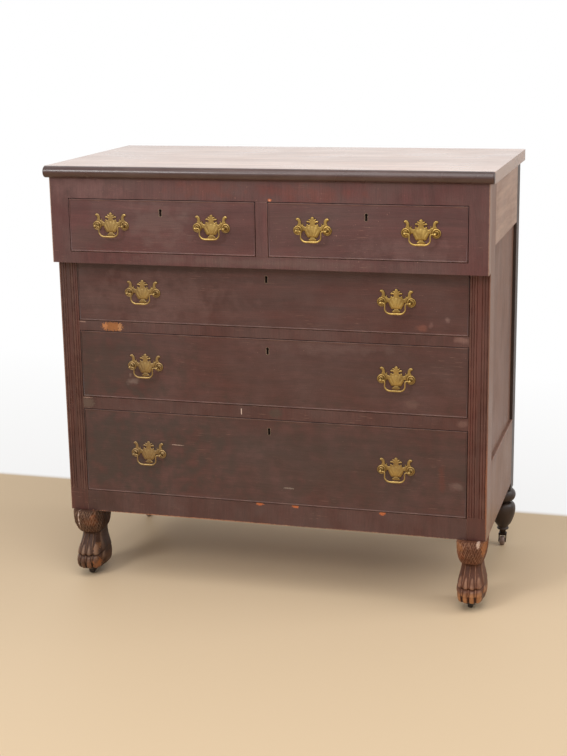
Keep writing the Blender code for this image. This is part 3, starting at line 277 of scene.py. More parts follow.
SIDE_FACE = (0.0022, 0.5, 2.0)
# The first two marks lighten the posts' side faces: fading, and painted sheen
POST_MARKS = tuple(
    (FADED_AND_SHEEN_SIDE, (side * post_high.x, LOWER_FACE, 0.5), SIDE_FACE, 0.8) for side in (-1, 1)
) + (
    ((112, 78, 72), (-0.545, LOWER_FACE, 0.232), (0.038, 0.02, 0.0012), 0.6),
    ((148, 90, 62), (post_high.x, LOWER_FACE, 0.32), (0.0045, 0.01, 0.14), 0.75),
    ((120, 84, 66), (0.544, LOWER_FACE, 0.5), (0.0016, 0.004, 0.3), 0.7),
)
RAIL_MARKS = (
    ((154, 98, 54), (-0.4085, LOWER_FACE, 0.6795), (0.029, 0.02, 0.013), 0.92),
    ((204, 138, 92), (-0.427, LOWER_FACE, 0.68), (0.008, 0.02, 0.01), 0.5, 0.45),
    ((186, 134, 92), (-0.387, LOWER_FACE, 0.679), (0.006, 0.02, 0.011), 0.7),
    (BARE_WOOD, (-0.028, LOWER_FACE, 0.238), (0.0095, 0.02, 0.0055), 0.85),
    (BARE_WOOD, (0.0655, LOWER_FACE, 0.238), (0.0095, 0.02, 0.0045), 0.85),
    (BARE_WOOD, (0.2885, LOWER_FACE, 0.2375), (0.0085, 0.02, 0.0055), 0.85),
    ((214, 190, 178), (-0.071, LOWER_FACE, 0.478), (0.0013, 0.02, 0.009), 0.9),
    ((98, 82, 72), (-0.485, LOWER_FACE, 0.477), (0.021, 0.02, 0.015), 0.65, 0.3),
    ((70, 60, 52), (0.0175, LOWER_FACE, 0.477), (0.02, 0.02, 0.015), 0.6, 0.4),
    ((158, 128, 116), (-0.487, LOWER_FACE, 0.689), (0.011, 0.02, 0.0013), 0.8),
    ((158, 128, 116), (-0.485, LOWER_FACE, 0.4905), (0.015, 0.02, 0.0013), 0.8),
    ((140, 106, 98), (0.48, LOWER_FACE, 0.683), (0.023, 0.02, 0.01), 0.55, 0.7),
    ((140, 106, 98), (0.485, LOWER_FACE, 0.478), (0.016, 0.02, 0.013), 0.4, 0.7),
    ((58, 42, 36), (-0.47, LOWER_FACE, 0.212), (0.1, 0.02, 0.05), 0.35, 0.8),
    ((190, 132, 98), (-0.2, LOWER_FACE, base_foot), (0.3, 0.02, 0.0024), 0.75),
    ((180, 140, 112), (0.25, LOWER_FACE, base_foot), (0.25, 0.02, 0.002), 0.6),
)
# The first two marks lighten the upper frame's side faces like the side rails: fading, and painted sheen
UPPER_MARKS = tuple(
    ((160, 127, 110), (side * upper_high.x, UPPER_FACE, 0.95), SIDE_FACE, 0.85) for side in (-1, 1)
) + (
    (BARE_WOOD, (0.0215, UPPER_FACE, 1.01), (0.0045, 0.02, 0.0036), 0.95),
    ((232, 196, 176), (0.0212, UPPER_FACE, 1.0102), (0.0018, 0.02, 0.0016), 0.8),
    ((126, 66, 52), (-0.15, UPPER_FACE, 1.035), (0.11, 0.02, 0.023), 0.25, 0.8),
    ((132, 62, 48), (0.13, UPPER_FACE, 1.03), (0.15, 0.02, 0.025), 0.25, 0.8),
    ((124, 92, 90), (-0.45, UPPER_FACE, 1.03), (0.12, 0.02, 0.035), 0.45, 0.8),
    ((112, 92, 86), (0.02, UPPER_FACE, 0.859), (0.35, 0.02, 0.013), 0.35, 0.8),
)
post_look = wood("upright mahogany", "Z", POST_DARK, POST_LIGHT, 0.2, marks=POST_MARKS)
rail_look = wood("cross-cut mahogany veneer", "Z", MAHOGANY_DARK, MAHOGANY_LIGHT, 0.4, figured=0.25,
                 marks=RAIL_MARKS)
upper_look = wood("upper frame mahogany", "Z", UPPER_DARK, UPPER_LIGHT, 0.5, figured=0.25,
                  marks=UPPER_MARKS)
for hand in ("left", "right"):
    finished(f"{hand}_front_post", worked(f"{hand}_front_post", REED_EASING, wear=0.3), post_look)
for rail in ("upper_drawer_rail", "lower_drawer_rail", "base_rail"):
    finished(rail, worked(rail, wear=0.6), rail_look)
for rail in ("centre_divider", "upper_front_frame"):
    finished(rail, worked(rail), upper_look)

# Sides: a top rail, and a sunk panel glued to its bottom rail, tenoned into the posts. They are plain
# mahogany boards, sun-faded and dry, with the grain upright in the panel and level in the rails. The top
# rails' pale colour is partly painted sheen.
PANEL_DARK = (104, 72, 58)
PANEL_LIGHT = (138, 100, 82)
# The top rails' pale colour: fading, and painted sheen
RAIL_DARK = (170, 138, 122)
RAIL_LIGHT = (200, 168, 148)
RAIL_EASING = 0.0016
side_low, side_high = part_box("right_side_panel")
side_middle = (side_low.y + side_high.y) / 2
BOTTOM_RAIL_MIDDLE = 0.276
BOTTOM_RAIL_FADE = (158, 128, 108)
SIDE_MARKS = tuple(
    (BOTTOM_RAIL_FADE, (side * side_high.x, side_middle, BOTTOM_RAIL_MIDDLE), (0.03, 0.5, 0.095), 0.3, 0.3)
    for side in (-1, 1)
)
side_look = wood("side mahogany", "Z", PANEL_DARK, PANEL_LIGHT, 0.3, coat=0.0, shine=0.26, marks=SIDE_MARKS)
side_rail_look = wood("side rail mahogany", "Y", RAIL_DARK, RAIL_LIGHT, 0.2, coat=0.0, shine=0.3)
for hand in ("left", "right"):
    panel = worked(f"{hand}_side_panel", RAIL_EASING, wear=0.8)
    finished(f"{hand}_side_panel", panel, side_look)
    rail = worked(f"{hand}_side_top_rail", RAIL_EASING, wear=0.95)
    finished(f"{hand}_side_top_rail", rail, side_rail_look)

# Back: four wide poplar boards, rough from the saw, nailed into the rebates of the rear posts. They
# were never finished, and have gone brown and dusty.
BACK_BOARDS = 4
BOARD_GAP = 0.0012
POPLAR_DARK = (122, 92, 62)
POPLAR_LIGHT = (164, 132, 92)
BOARD_EASING = 0.0007
back_look = wood("back board poplar", "X", POPLAR_DARK, POPLAR_LIGHT, 0.3, rubbed=(176, 150, 112),
                 roughness=0.7, coat=0.0)


def board(shape, low, high):
    """A squared board between two corners."""
    low, high = Vector(low), Vector(high)
    place = Matrix.Translation((low + high) / 2) @ Matrix.Diagonal((*(high - low), 1.0))
    return bmesh.ops.create_cube(shape, size=1.0, matrix=place)["verts"]


back_low, back_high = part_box("back_panel")
back = bmesh.new()
board_height = (back_high.z - back_low.z) / BACK_BOARDS
for index in range(BACK_BOARDS):
    foot = back_low.z + index * board_height
    board(back, (back_low.x, back_low.y, foot), (back_high.x, back_high.y, foot + board_height - BOARD_GAP))
bmesh.ops.bevel(back, geom=back.edges[:], offset=BOARD_EASING, affect="EDGES", segments=2, profile=0.5,
                material=-1)
finished("back_panel", back, back_look)

# Rear posts: one square length of stained hardwood each, left square behind the case and turned below
# it into a flattened ball over a tapering vase. Nearly black from old stain and dirt.
TURNING_STEPS = 64
DARK_STAIN = (38, 28, 24)
DARK_STAIN_WORN = (66, 48, 40)
rear_look = wood("dark stained post", "Z", DARK_STAIN, DARK_STAIN_WORN, 0.2, rubbed=(110, 84, 68),
                 roughness=0.45)


def turned(shape, profile, centre, axis=(0, 0, 1), steps=TURNING_STEPS):
    """Spins (radius, distance along the axis) pairs round an axis through centre."""
    axis, centre = Vector(axis), Vector(centre)
    out = axis.orthogonal().normalized()
    corners = [shape.verts.new(centre + out * radius + axis * along) for radius, along in profile]
    edges = [shape.edges.new(pair) for pair in zip(corners, corners[1:])]
    bmesh.ops.spin(shape, geom=corners + edges, cent=centre, axis=axis, angle=math.tau, steps=steps,
                   use_merge=True)
    bmesh.ops.remove_doubles(shape, verts=shape.verts, dist=2e-6)
    return shape


def rounded(points, steps=4):
    """A smooth line through points, with so many steps between each two."""
    ends = [points[0], *points, points[-1]]
    line = []
    for a, b, c, d in zip(ends, ends[1:], ends[2:], ends[3:]):
        for step in range(steps):
            t = step / steps
            line.append(tuple(
                0.5 * (2 * q + (r - p) * t + (2 * p - 5 * q + 4 * r - s) * t * t
                       + (3 * q - p - 3 * r + s) * t ** 3)
                for p, q, r, s in zip(a, b, c, d)
            ))
    return [*line, tuple(points[-1])]


CASTER_SEAT = 0.044
FOOT_X = 0.522
FOOT_RADIUS = 0.0333
FOOT_TOP = 0.164
FOOT_PEG = 0.004
SAW_ABOVE = 0.0002
# Each step of the turning, from the caster up: its radius and its height as shares of the foot's
FOOT_SHARES = (
    (0.38, 0.0), (0.47, 0.012), (0.48, 0.036), (0.41, 0.06), (0.5, 0.1), (0.65, 0.158), (0.76, 0.217),
    (0.88, 0.317), (0.98, 0.425), (1.0, 0.525), (0.94, 0.608), (0.79, 0.655), (0.6, 0.679),
    (0.7, 0.7), (0.9, 0.75), (1.0, 0.842), (0.92, 0.925), (0.72, 0.985), (0.6, 1.0),
)
for hand, side in (("left", -1), ("right", 1)):
    piece = f"{hand}_rear_post"
    low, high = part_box(piece)
    shape = worked(piece)
    bmesh.ops.bisect_plane(shape, geom=shape.verts[:] + shape.edges[:] + shape.faces[:], dist=1e-6,
                           plane_co=(0, 0, FOOT_TOP + SAW_ABOVE), plane_no=(0, 0, 1), clear_inner=True)
    bmesh.ops.holes_fill(shape, edges=[edge for edge in shape.edges if edge.is_boundary], sides=0)
    rise = FOOT_TOP - CASTER_SEAT
    foot = bmesh.new()
    outline = [(FOOT_RADIUS * radius, CASTER_SEAT + rise * height) for radius, height in rounded(FOOT_SHARES)]
    outline = [(0, CASTER_SEAT), *outline, (FOOT_RADIUS / 2, FOOT_TOP + FOOT_PEG), (0, FOOT_TOP + FOOT_PEG)]
    turned(foot, outline, (side * FOOT_X, (low.y + high.y) / 2, 0))
    bmesh.ops.recalc_face_normals(foot, faces=foot.faces)
    spare = bpy.data.meshes.new("turned foot")
    foot.to_mesh(spare)
    foot.free()
    shape.from_mesh(spare)
    finished(piece, shape, rear_look)

# Paw feet: each carved from one block and dowelled under its post. Hairy locks fall over a slim ankle,
# four tendons run down into the toes, and the sole is hollowed for a caster. The raised carving is
# worn through the stain, the toes most of all. Its ridges are also painted lighter as highlight, and its
# front lighter than its sides as painted light and shade.
PAW_HALF_WIDTH = 0.035
PAW_DEPTH = 0.124
PAW_SOLE = 0.02
PAW_TOP = 0.1847
PAW_CENTRE = (0.506, -0.19725)
PAW_COLUMNS = 208
PAW_ROW = 0.0012
POCKET_RADIUS = 0.0261
POCKET_BACK = -0.006
BACK_SQUARENESS = 1.8
CORNER_RADIUS = 0.045
CREASE_HEIGHT = 0.06
DROP_TOP = 0.092
FUR_HEIGHT = 0.118
# Depths and pitches of the gouge work
TOE_ROUNDING = 0.0054
WEB_FILL = 0.0062
KNUCKLE_LINE = 0.0007
SOLE_ROUNDING = 0.0036
CREASE_DEPTH = 0.0022
DROP_RISE = 0.0024
TENDON_RISE = 0.003
ANKLE_SINK = 0.002
FUR_UNDERCUT = 0.0024
SCALLOP_PITCH = 0.0085
SCALLOP_DROP = 0.0022
LOCK_DEPTH = 0.0017
LOCK_PITCH = 0.0068
CROSS_LOCK_PITCH = 0.011
# Heights between which the toes' and the crests' wear fades out
TOE_WEAR = (0.056, 0.048)
CREST_WEAR = (0.125, 0.115)
SOFT_CREASE = 60.0
# Share of the height, half width, reach to the front and to the back, and how square the paw is there
PAW_SECTIONS = (
    (0.0, 0.86, 0.67, 0.83, 2.6), (0.027, 0.93, 0.85, 0.86, 2.8), (0.079, 0.98, 0.95, 0.88, 2.9),
    (0.152, 1.0, 1.0, 0.91, 3.0), (0.218, 0.98, 0.95, 0.92, 2.9), (0.242, 0.96, 0.86, 0.92, 2.8),
    (0.279, 0.97, 0.91, 0.92, 2.8), (0.364, 0.89, 0.82, 0.88, 2.7), (0.455, 0.78, 0.63, 0.88, 2.6),
    (0.546, 0.71, 0.43, 0.9, 2.6), (0.585, 0.73, 0.44, 0.92, 2.6), (0.61, 0.82, 0.58, 0.94, 2.8),
    (0.68, 0.91, 0.76, 0.96, 3.2), (0.789, 0.98, 0.95, 0.98, 3.6), (0.91, 1.0, 1.0, 1.0, 4.0),
    (1.0, 1.0, 0.95, 1.0, 4.5),
)


def eased(value, low, high):
    """0 below low, 1 above high and a smooth rise between."""
    share = min(max((value - low) / (high - low), 0.0), 1.0)
    return share * share * (3 - 2 * share)


def bump(value, centre, width):
    """1 at the centre, falling away smoothly to both sides over the width."""
    return math.exp(-(((value - centre) / width) ** 2))


def skin(shape, columns, rows, place):
    """A grid rolled up and closed: place gives each corner's point, and how proud the work stands there."""
    proud = shape.verts.layers.float.get("proud") or shape.verts.layers.float.new("proud")
    made = bmesh.ops.create_grid(shape, x_segments=columns, y_segments=rows - 1, size=0.5)["verts"]
    for vert in made:
        column = round((vert.co.x + 0.5) * columns) % columns
        vert.co, vert[proud] = place(column, round((vert.co.y + 0.5) * (rows - 1)))
    bmesh.ops.remove_doubles(shape, verts=made, dist=1e-6)
    return shape


def paw_section(height):
    """The sections' sizes at a height, with the steps between them softened by the gouge."""
    table = np.array(PAW_SECTIONS).T
    shares = (height - PAW_SOLE) / (PAW_TOP - PAW_SOLE) + np.linspace(-0.014, 0.014, 5)
    return [float(np.interp(shares, table[0], column).mean()) for column in table[1:]]


def carving(around, across, height, face_arc):
    """Depth of the gouge work, in metres from the block's face, at a place on the paw."""
    front = eased(-math.sin(around), -0.1, 0.5)
    lobe = abs(math.sin(math.tau * across))
    groove = abs(math.remainder(across, 0.5))
    crease_height = CREASE_HEIGHT + 0.004 * (1 - lobe ** 0.7)
    toes = 1 - eased(height, crease_height - 0.0015, crease_height + 0.0015)
    work = -TOE_ROUNDING * toes * (1 - lobe ** 0.55) * front
    work += WEB_FILL * toes * bump(groove, 0.0, 0.032) * eased(height, 0.038, 0.05) * front
    work -= KNUCKLE_LINE * toes * bump(height, 0.042, 0.0014) * lobe * front
    work -= SOLE_ROUNDING * (1 - eased(height, PAW_SOLE, PAW_SOLE + 0.008)) ** 2
    work -= CREASE_DEPTH * bump(height, crease_height, 0.0018) * (0.3 + 0.7 * front)
    ankle = (1 - toes) * (1 - eased(height, FUR_HEIGHT - 0.004, FUR_HEIGHT))
    low_share = min(max((DROP_TOP - height) / (DROP_TOP - CREASE_HEIGHT), 0.0), 1.0)
    drop_half = 0.045 + 0.165 * low_share ** 0.6
    from_middle = (0.25 - groove) / drop_half
    drop = math.sqrt(max(0.0, 1 - from_middle * from_middle))
    drop *= eased(height, DROP_TOP + 0.004, DROP_TOP - 0.008)
    tendon = bump(groove, 0.0, 0.04) * (1 - 0.5 * low_share)
    work += ankle * front * (DROP_RISE * drop + TENDON_RISE * tendon - ANKLE_SINK)
    lip = FUR_HEIGHT + SCALLOP_DROP * abs(math.sin(math.pi * face_arc / SCALLOP_PITCH))
    fur = eased(height, lip - 0.001, lip + 0.002)
    sway = 0.003 * noise.noise(Vector((around * 3, across * 4, height * 60)))
    rise = height - FUR_HEIGHT
    fall = abs(math.sin(math.pi * (face_arc + sway - rise * 0.5) / LOCK_PITCH))
    cross = abs(math.sin(math.pi * (face_arc + sway + rise * 0.42) / CROSS_LOCK_PITCH))
    locks = max(fall ** 7, 0.8 * cross ** 9)
    work += fur * LOCK_DEPTH * (locks - 0.75)
    return work - FUR_UNDERCUT * (1 - fur) * eased(height, FUR_HEIGHT - 0.006, FUR_HEIGHT)


def paw_point(column, row, heights, centre):
    """One corner of the paw's skin, and how proud the carving stands there."""
    around = math.tau * column / PAW_COLUMNS
    if row == 0 or row == len(heights) - 1:
        return Vector((centre.x, centre.y + POCKET_BACK, heights[row])), 0.0
    if row < 3:
        spread = Vector((math.cos(around), math.sin(around), 0)) * POCKET_RADIUS
        return Vector((centre.x, centre.y + POCKET_BACK, heights[row])) + spread, 0.0
    height = heights[row]
    wide, ahead, behind, square = paw_section(height)
    right, back = math.cos(around), math.sin(around)
    square *= BACK_SQUARENESS if back > 0 else 1.0
    reach = (abs(right) ** square + abs(back) ** square) ** (-1 / square)
    deep = PAW_DEPTH / 2 * (behind if back > 0 else ahead)
    out = Vector((PAW_HALF_WIDTH * wide * reach * right, deep * reach * back, 0))
    face_arc = abs(math.remainder(around, math.pi / 2)) * CORNER_RADIUS
    work = carving(around, out.x / (PAW_HALF_WIDTH * wide), height, face_arc)
    # The front counts as more proud, so it takes the ridges' lighter colour: painted light on the front,
    # painted shade on the sides.
    proud = 0.3 + 0.3 * eased(-back, -0.1, 0.5) + work * (260 if height < FUR_HEIGHT else 330)
    return Vector((centre.x, centre.y, height)) + out + out.normalized() * work, proud


def carved_wood(name, dark, light, ridge, bare, marks):
    """Stained carving: dark in the hollows, lighter on the ridges from wear and painted highlight, and rubbed
    to bare wood on the toes.
    """
    made = wood(name, "Z", dark, light, 0.1, rubbed=ridge, roughness=0.5, coat=0.0, shine=0.25, marks=marks)
    tree = made.node_tree
    shader = tree.nodes["Principled BSDF"]
    under = shader.inputs["Base Color"].links[0].from_socket
    still = node(tree, "TexCoord", output="Object")
    proud = node(tree, "Attribute", output="Fac", attribute_name="proud")
    height = node(tree, "SeparateXYZ", {0: still}, "Z")
    wear = cloud(tree, still, 48.0, 4.0)
    hollow = tinted(tree, span(tree, proud, -0.4, 0.2, 0.75, 0.0), under, paint([c * 0.4 for c in dark]))
    # Ridges lighter: wear, and painted highlight
    raised = times(tree, span(tree, proud, 0.35, 0.7), span(tree, wear, 0.3, 0.6, 0.25, 1.0))
    rubbed = tinted(tree, times(tree, raised, 0.75), hollow, paint(ridge))
    crest = times(tree, span(tree, proud, 0.7, 0.86), span(tree, height, *CREST_WEAR))
    rubbed = tinted(tree, times(tree, crest, 0.6), rubbed, paint([c * 1.25 for c in ridge]))
    toes = times(tree, span(tree, height, *TOE_WEAR), span(tree, proud, 0.1, 0.42))
    toes = times(tree, toes, span(tree, wear, 0.32, 0.5, 0.45, 1.0))
    tree.links.new(tinted(tree, times(tree, toes, 0.9), rubbed, paint(bare)), shader.inputs["Base Color"])
    return made


LEFT_PAW_MARKS = (
    ((220, 196, 184), (-0.519, -0.255, 0.162), (0.0013, 0.3, 0.03), 0.9),
    ((164, 98, 58), (-0.485, -0.245, 0.17), (0.01, 0.05, 0.011), 0.6, 0.6),
    ((128, 74, 44), (-0.488, -0.245, 0.162), (0.018, 0.05, 0.019), 0.5, 0.7),
    ((150, 104, 72), (-0.482, -0.24, 0.08), (0.0065, 0.05, 0.012), 0.6),
    ((176, 106, 54), (-0.479, -0.25, 0.038), (0.0085, 0.05, 0.015), 0.9),
    ((160, 108, 76), (-0.497, -0.25, 0.036), (0.006, 0.05, 0.011), 0.7),
)
RIGHT_PAW_MARKS = (
    ((216, 188, 170), (0.528, -0.255, 0.18), (0.0046, 0.05, 0.0085), 0.9),
    ((176, 108, 54), (0.542, -0.235, 0.162), (0.008, 0.06, 0.024), 0.7),
    ((158, 104, 62), (0.48, -0.245, 0.172), (0.013, 0.05, 0.014), 0.6),
    ((126, 62, 30), (0.484, -0.245, 0.148), (0.012, 0.05, 0.012), 0.5),
)
left_paw_look = carved_wood("left paw", (60, 38, 27), (86, 56, 41), (150, 120, 100), (104, 72, 54),
                            LEFT_PAW_MARKS)
right_paw_look = carved_wood("right paw", (84, 47, 30), (112, 66, 43), (170, 128, 104), (172, 120, 80),
                             RIGHT_PAW_MARKS)
heights = [CASTER_SEAT, CASTER_SEAT, PAW_SOLE]
heights += [*np.arange(PAW_SOLE, PAW_TOP, PAW_ROW).tolist(), PAW_TOP, PAW_TOP]
for hand, look in (("left", left_paw_look), ("right", right_paw_look)):
    side = 1 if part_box(f"{hand}_paw_foot")[1].x > 0 else -1
    centre = Vector((side * PAW_CENTRE[0], PAW_CENTRE[1], 0))
    shape = skin(bmesh.new(), PAW_COLUMNS, len(heights),
                 lambda column, row: paw_point(column, row, heights, centre))
    bmesh.ops.recalc_face_normals(shape, faces=shape.faces)
    finished(f"{hand}_paw_foot", shape, look, SOFT_CREASE)

# Casters: a cast iron fork on a stem that turns in the foot, and a roller on its axle. The rear rollers
# are pale brown china, the front ones dark wood that shows only under the toes.
WHEEL_RADIUS = 0.0125
TREAD_HALF = 0.0068
AXLE_RADIUS = 0.002
AXLE_EASING = 0.0004
FORK_EASING = 0.0005
SHORTEST_FORK_EDGE = 0.004


def metal(name, dark, bright, roughness, metallic=1.0):
    """Aged metal: bright where it is handled and stands proud, dark with grime in its hollows."""
    made = bpy.data.materials.new(name)
    made.use_nodes = True
    tree = made.node_tree
    shader = tree.nodes["Principled BSDF"]
    still = node(tree, "TexCoord", output="Object")
    proud = node(tree, "Attribute", output="Fac", attribute_name="proud")
    tarnish = cloud(tree, still, 55.0, 5.0)
    fine = cloud(tree, still, 700.0, 2.0)
    share = times(tree, span(tree, proud, 0.05, 0.75, 0.15, 1.0), span(tree, tarnish, 0.3, 0.62, 0.45, 1.0))
    tree.links.new(tinted(tree, share, paint(dark), paint(bright)), shader.inputs["Base Color"])
    tree.links.new(span(tree, tarnish, 0.3, 0.7, roughness + 0.14, roughness), shader.inputs["Roughness"])
    bumps = node(tree, "Bump", {"Height": fine, "Strength": 0.3, "Distance": 0.0002})
    tree.links.new(bumps, shader.inputs["Normal"])
    shader.inputs["Metallic"].default_value = metallic
    return made


iron_look = metal("rusty iron", (48, 38, 33), (96, 84, 76), 0.5)
china_look = metal("brown china roller", (120, 98, 90), (196, 172, 162), 0.28, 0.0)
front_roller_look = metal("dark roller", (34, 27, 23), (70, 56, 48), 0.45, 0.0)
for end, roller_look in (("front", front_roller_look), ("rear", china_look)):
    for hand in ("left", "right"):
        fork = worked(f"{hand}_{end}_caster_fork", FORK_EASING, SHORTEST_FORK_EDGE)
        finished(f"{hand}_{end}_caster_fork", fork, iron_look)
        low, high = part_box(f"{hand}_{end}_caster_wheel")
        half = (high.x - low.x) / 2
        outline = [(0, -half), (AXLE_RADIUS * 0.8, -half), (AXLE_RADIUS, -half + AXLE_EASING),
                   (AXLE_RADIUS, -TREAD_HALF), (0.0085, -TREAD_HALF), (0.011, -TREAD_HALF * 0.86),
                   (0.0121, -TREAD_HALF * 0.6), (WHEEL_RADIUS, -TREAD_HALF * 0.2)]
        outline += [(radius, -along) for radius, along in reversed(outline)]
        shape = turned(bmesh.new(), outline, (low + high) / 2, (1, 0, 0), steps=48)
        bmesh.ops.recalc_face_normals(shape, faces=shape.faces)
        finished(f"{hand}_{end}_caster_wheel", shape, roller_look)

# Top: one thick board with square ends, and a half-round nosing glued along its front. Sun has bleached the
# board to a pale pinkish brown, paler still as painted sheen, while the nosing keeps its dark polish under
# knocks and dents.
# Pale from bleaching, and from painted sheen
TOP_DARK = (176, 138, 118)
TOP_LIGHT = (212, 174, 154)
NOSE_DARK = (58, 37, 33)
NOSE_LIGHT = (80, 53, 48)
NOSE_STEPS = 20
NOSE_END_ROUNDING = 0.004
GLUE_LINE = 0.0001
nose_look = wood("dark nosing", "X", NOSE_DARK, NOSE_LIGHT, 0.3, rubbed=(120, 90, 82), roughness=0.3,
                 coat=0.35)
top_low, top_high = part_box("top_board")
END_GRAIN = tuple(
    ((186, 148, 128), (side * top_high.x, 0.0, top_high.z), (0.002, 1.0, 0.2), 0.75) for side in (-1, 1)
)
top_look = wood("bleached_and_sheen_painted mahogany top", "X", TOP_DARK, TOP_LIGHT, 0.1, roughness=0.3, coat=0.7, figured=0.6,
                marks=END_GRAIN)
nose_radius = (top_high.z - top_low.z) / 2
nose_back = top_low.y + nose_radius
top = bmesh.new()
board(top, (top_low.x, nose_back, top_low.z), top_high)
bmesh.ops.bevel(top, geom=top.edges[:], offset=ARRIS_EASING, affect="EDGES", segments=2, profile=0.5,
                material=-1)
finished("top_board", top, top_look)


def pushed(shape, faces, offset, keep=False):
    """Extrudes faces by an offset and gives back the moved corners."""
    made = bmesh.ops.extrude_face_region(shape, geom=faces, use_keep_orig=keep)["geom"]
    moved = [item for item in made if isinstance(item, bmesh.types.BMVert)]
    bmesh.ops.translate(shape, verts=moved, vec=offset)
    return moved


nose = bmesh.new()
bow = [math.pi * (0.5 + step / NOSE_STEPS) for step in range(NOSE_STEPS + 1)]
profile = [
    (nose_back - GLUE_LINE + nose_radius * math.cos(angle), top_low.z + nose_radius * (1 + math.sin(angle)))
    for angle in bow
]
end_face = nose.faces.new([nose.verts.new((top_low.x, y, z)) for y, z in profile])
pushed(nose, [end_face], (top_high.x - top_low.x, 0, 0), keep=True)
bmesh.ops.recalc_face_normals(nose, faces=nose.faces)
end_arrises = [edge for edge in nose.edges if abs(edge.verts[0].co.x - edge.verts[1].co.x) < 1e-6
               and min(vert.co.y for vert in edge.verts) < nose_back - 2 * GLUE_LINE]
bmesh.ops.bevel(nose, geom=end_arrises, offset=NOSE_END_ROUNDING, offset_type="OFFSET", affect="EDGES",
                segments=5, profile=0.5, material=-1, clamp_overlap=True)
visible("top_nosing", nose, nose_look, frame["nodes"]["top_board"]["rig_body"])

# Drawers: mahogany fronts with a small cock bead round each, dovetailed to poplar boxes. The boxes are
# bare inside, the fronts darkened by polish and greyed by bloom.
BEAD_EASING = 0.001
BOX_EASING = 0.0006
SHORTEST_BOX_EDGE = 0.03
DRAWER_MARKS_AND_PAINTED_SHADE = (
    # The first six are broad washes of painted shade and light: darker over the middle and bottom long
    # drawers, most of all to the left, lighter at the top long drawer's left and in a strip near the middle
    # drawer's top.
    ((62, 50, 46), (-0.42, LOWER_FACE, 0.345), (0.3, 0.03, 0.15), 0.75, 0.85),
    ((64, 52, 47), (0.1, LOWER_FACE, 0.35), (0.6, 0.03, 0.15), 0.5, 0.85),
    ((64, 51, 47), (-0.44, LOWER_FACE, 0.58), (0.24, 0.03, 0.11), 0.65, 0.85),
    ((72, 50, 45), (0.15, LOWER_FACE, 0.58), (0.5, 0.03, 0.12), 0.35, 0.85),
    ((108, 80, 76), (-0.28, LOWER_FACE, 0.76), (0.24, 0.03, 0.08), 0.45, 0.85),
    ((104, 80, 76), (0.18, LOWER_FACE, 0.65), (0.16, 0.03, 0.02), 0.45, 0.85),
    ((138, 84, 70), (0.38, LOWER_FACE, 0.709), (0.014, 0.02, 0.009), 0.45, 0.6),
    ((142, 108, 102), (0.406, LOWER_FACE, 0.72), (0.007, 0.02, 0.01), 0.35, 0.6),
    ((148, 118, 112), (0.445, LOWER_FACE, 0.731), (0.008, 0.02, 0.008), 0.45, 0.6),
    ((156, 138, 130), (-0.357, LOWER_FACE, 0.54), (0.017, 0.02, 0.011), 0.3, 0.6),
    ((156, 138, 130), (-0.364, LOWER_FACE, 0.557), (0.006, 0.02, 0.01), 0.35, 0.6),
    ((196, 172, 158), (-0.246, LOWER_FACE, 0.3785), (0.017, 0.02, 0.001), 0.8),
    ((100, 50, 42), (0.435, LOWER_FACE, 0.34), (0.011, 0.02, 0.038), 0.5, 0.6),
    ((136, 112, 106), (0.467, LOWER_FACE, 0.32), (0.015, 0.02, 0.013), 0.35, 0.6),
    ((160, 146, 134), (0.049, LOWER_FACE, 0.285), (0.015, 0.02, 0.002), 0.5),
    ((120, 92, 84), (0.347, LOWER_FACE, 0.518), (0.033, 0.02, 0.017), 0.35, 0.6),
)
UPPER_DRAWER_MARKS = (
    ((112, 92, 88), (-0.26, UPPER_FACE, 0.95), (0.1, 0.03, 0.07), 0.4, 0.85),
    ((84, 66, 62), (-0.44, UPPER_FACE, 0.91), (0.1, 0.03, 0.04), 0.4, 0.85),
    ((82, 64, 60), (0.1, UPPER_FACE, 0.96), (0.12, 0.03, 0.06), 0.4, 0.85),
    ((122, 94, 92), (0.36, UPPER_FACE, 0.9), (0.12, 0.03, 0.04), 0.4, 0.85),
)
drawers = ("upper_left", "upper_right", "top_long", "middle_long", "bottom_long")
long_look = wood("drawer front mahogany", "X", MAHOGANY_DARK, MAHOGANY_LIGHT, 0.3, figured=0.3,
                 marks=DRAWER_MARKS_AND_PAINTED_SHADE)
short_look = wood("short drawer mahogany", "X", UPPER_DARK, UPPER_LIGHT, 0.35, figured=0.3,
                  marks=UPPER_DRAWER_MARKS)
box_look = wood("drawer box poplar", "Y", POPLAR_DARK, POPLAR_LIGHT, 0.15, rubbed=(190, 164, 124),
                roughness=0.65, coat=0.0)
for drawer in drawers:
    # The fronts' upright arrises are darkened: grime, and painted shade of the gaps beside them, most on the
    # long drawers
    look, dirt_and_gap_shade = (short_look, 0.15) if "upper" in drawer else (long_look, 0.6)
    front = worked(f"{drawer}_drawer_front", BEAD_EASING, shortest=0.1, wear=0.25, dirt_and_gap_shade=dirt_and_gap_shade)
    finished(f"{drawer}_drawer_front", front, look)
    box = worked(f"{drawer}_drawer_box", BOX_EASING, SHORTEST_BOX_EDGE)
    finished(f"{drawer}_drawer_box", box, box_look)

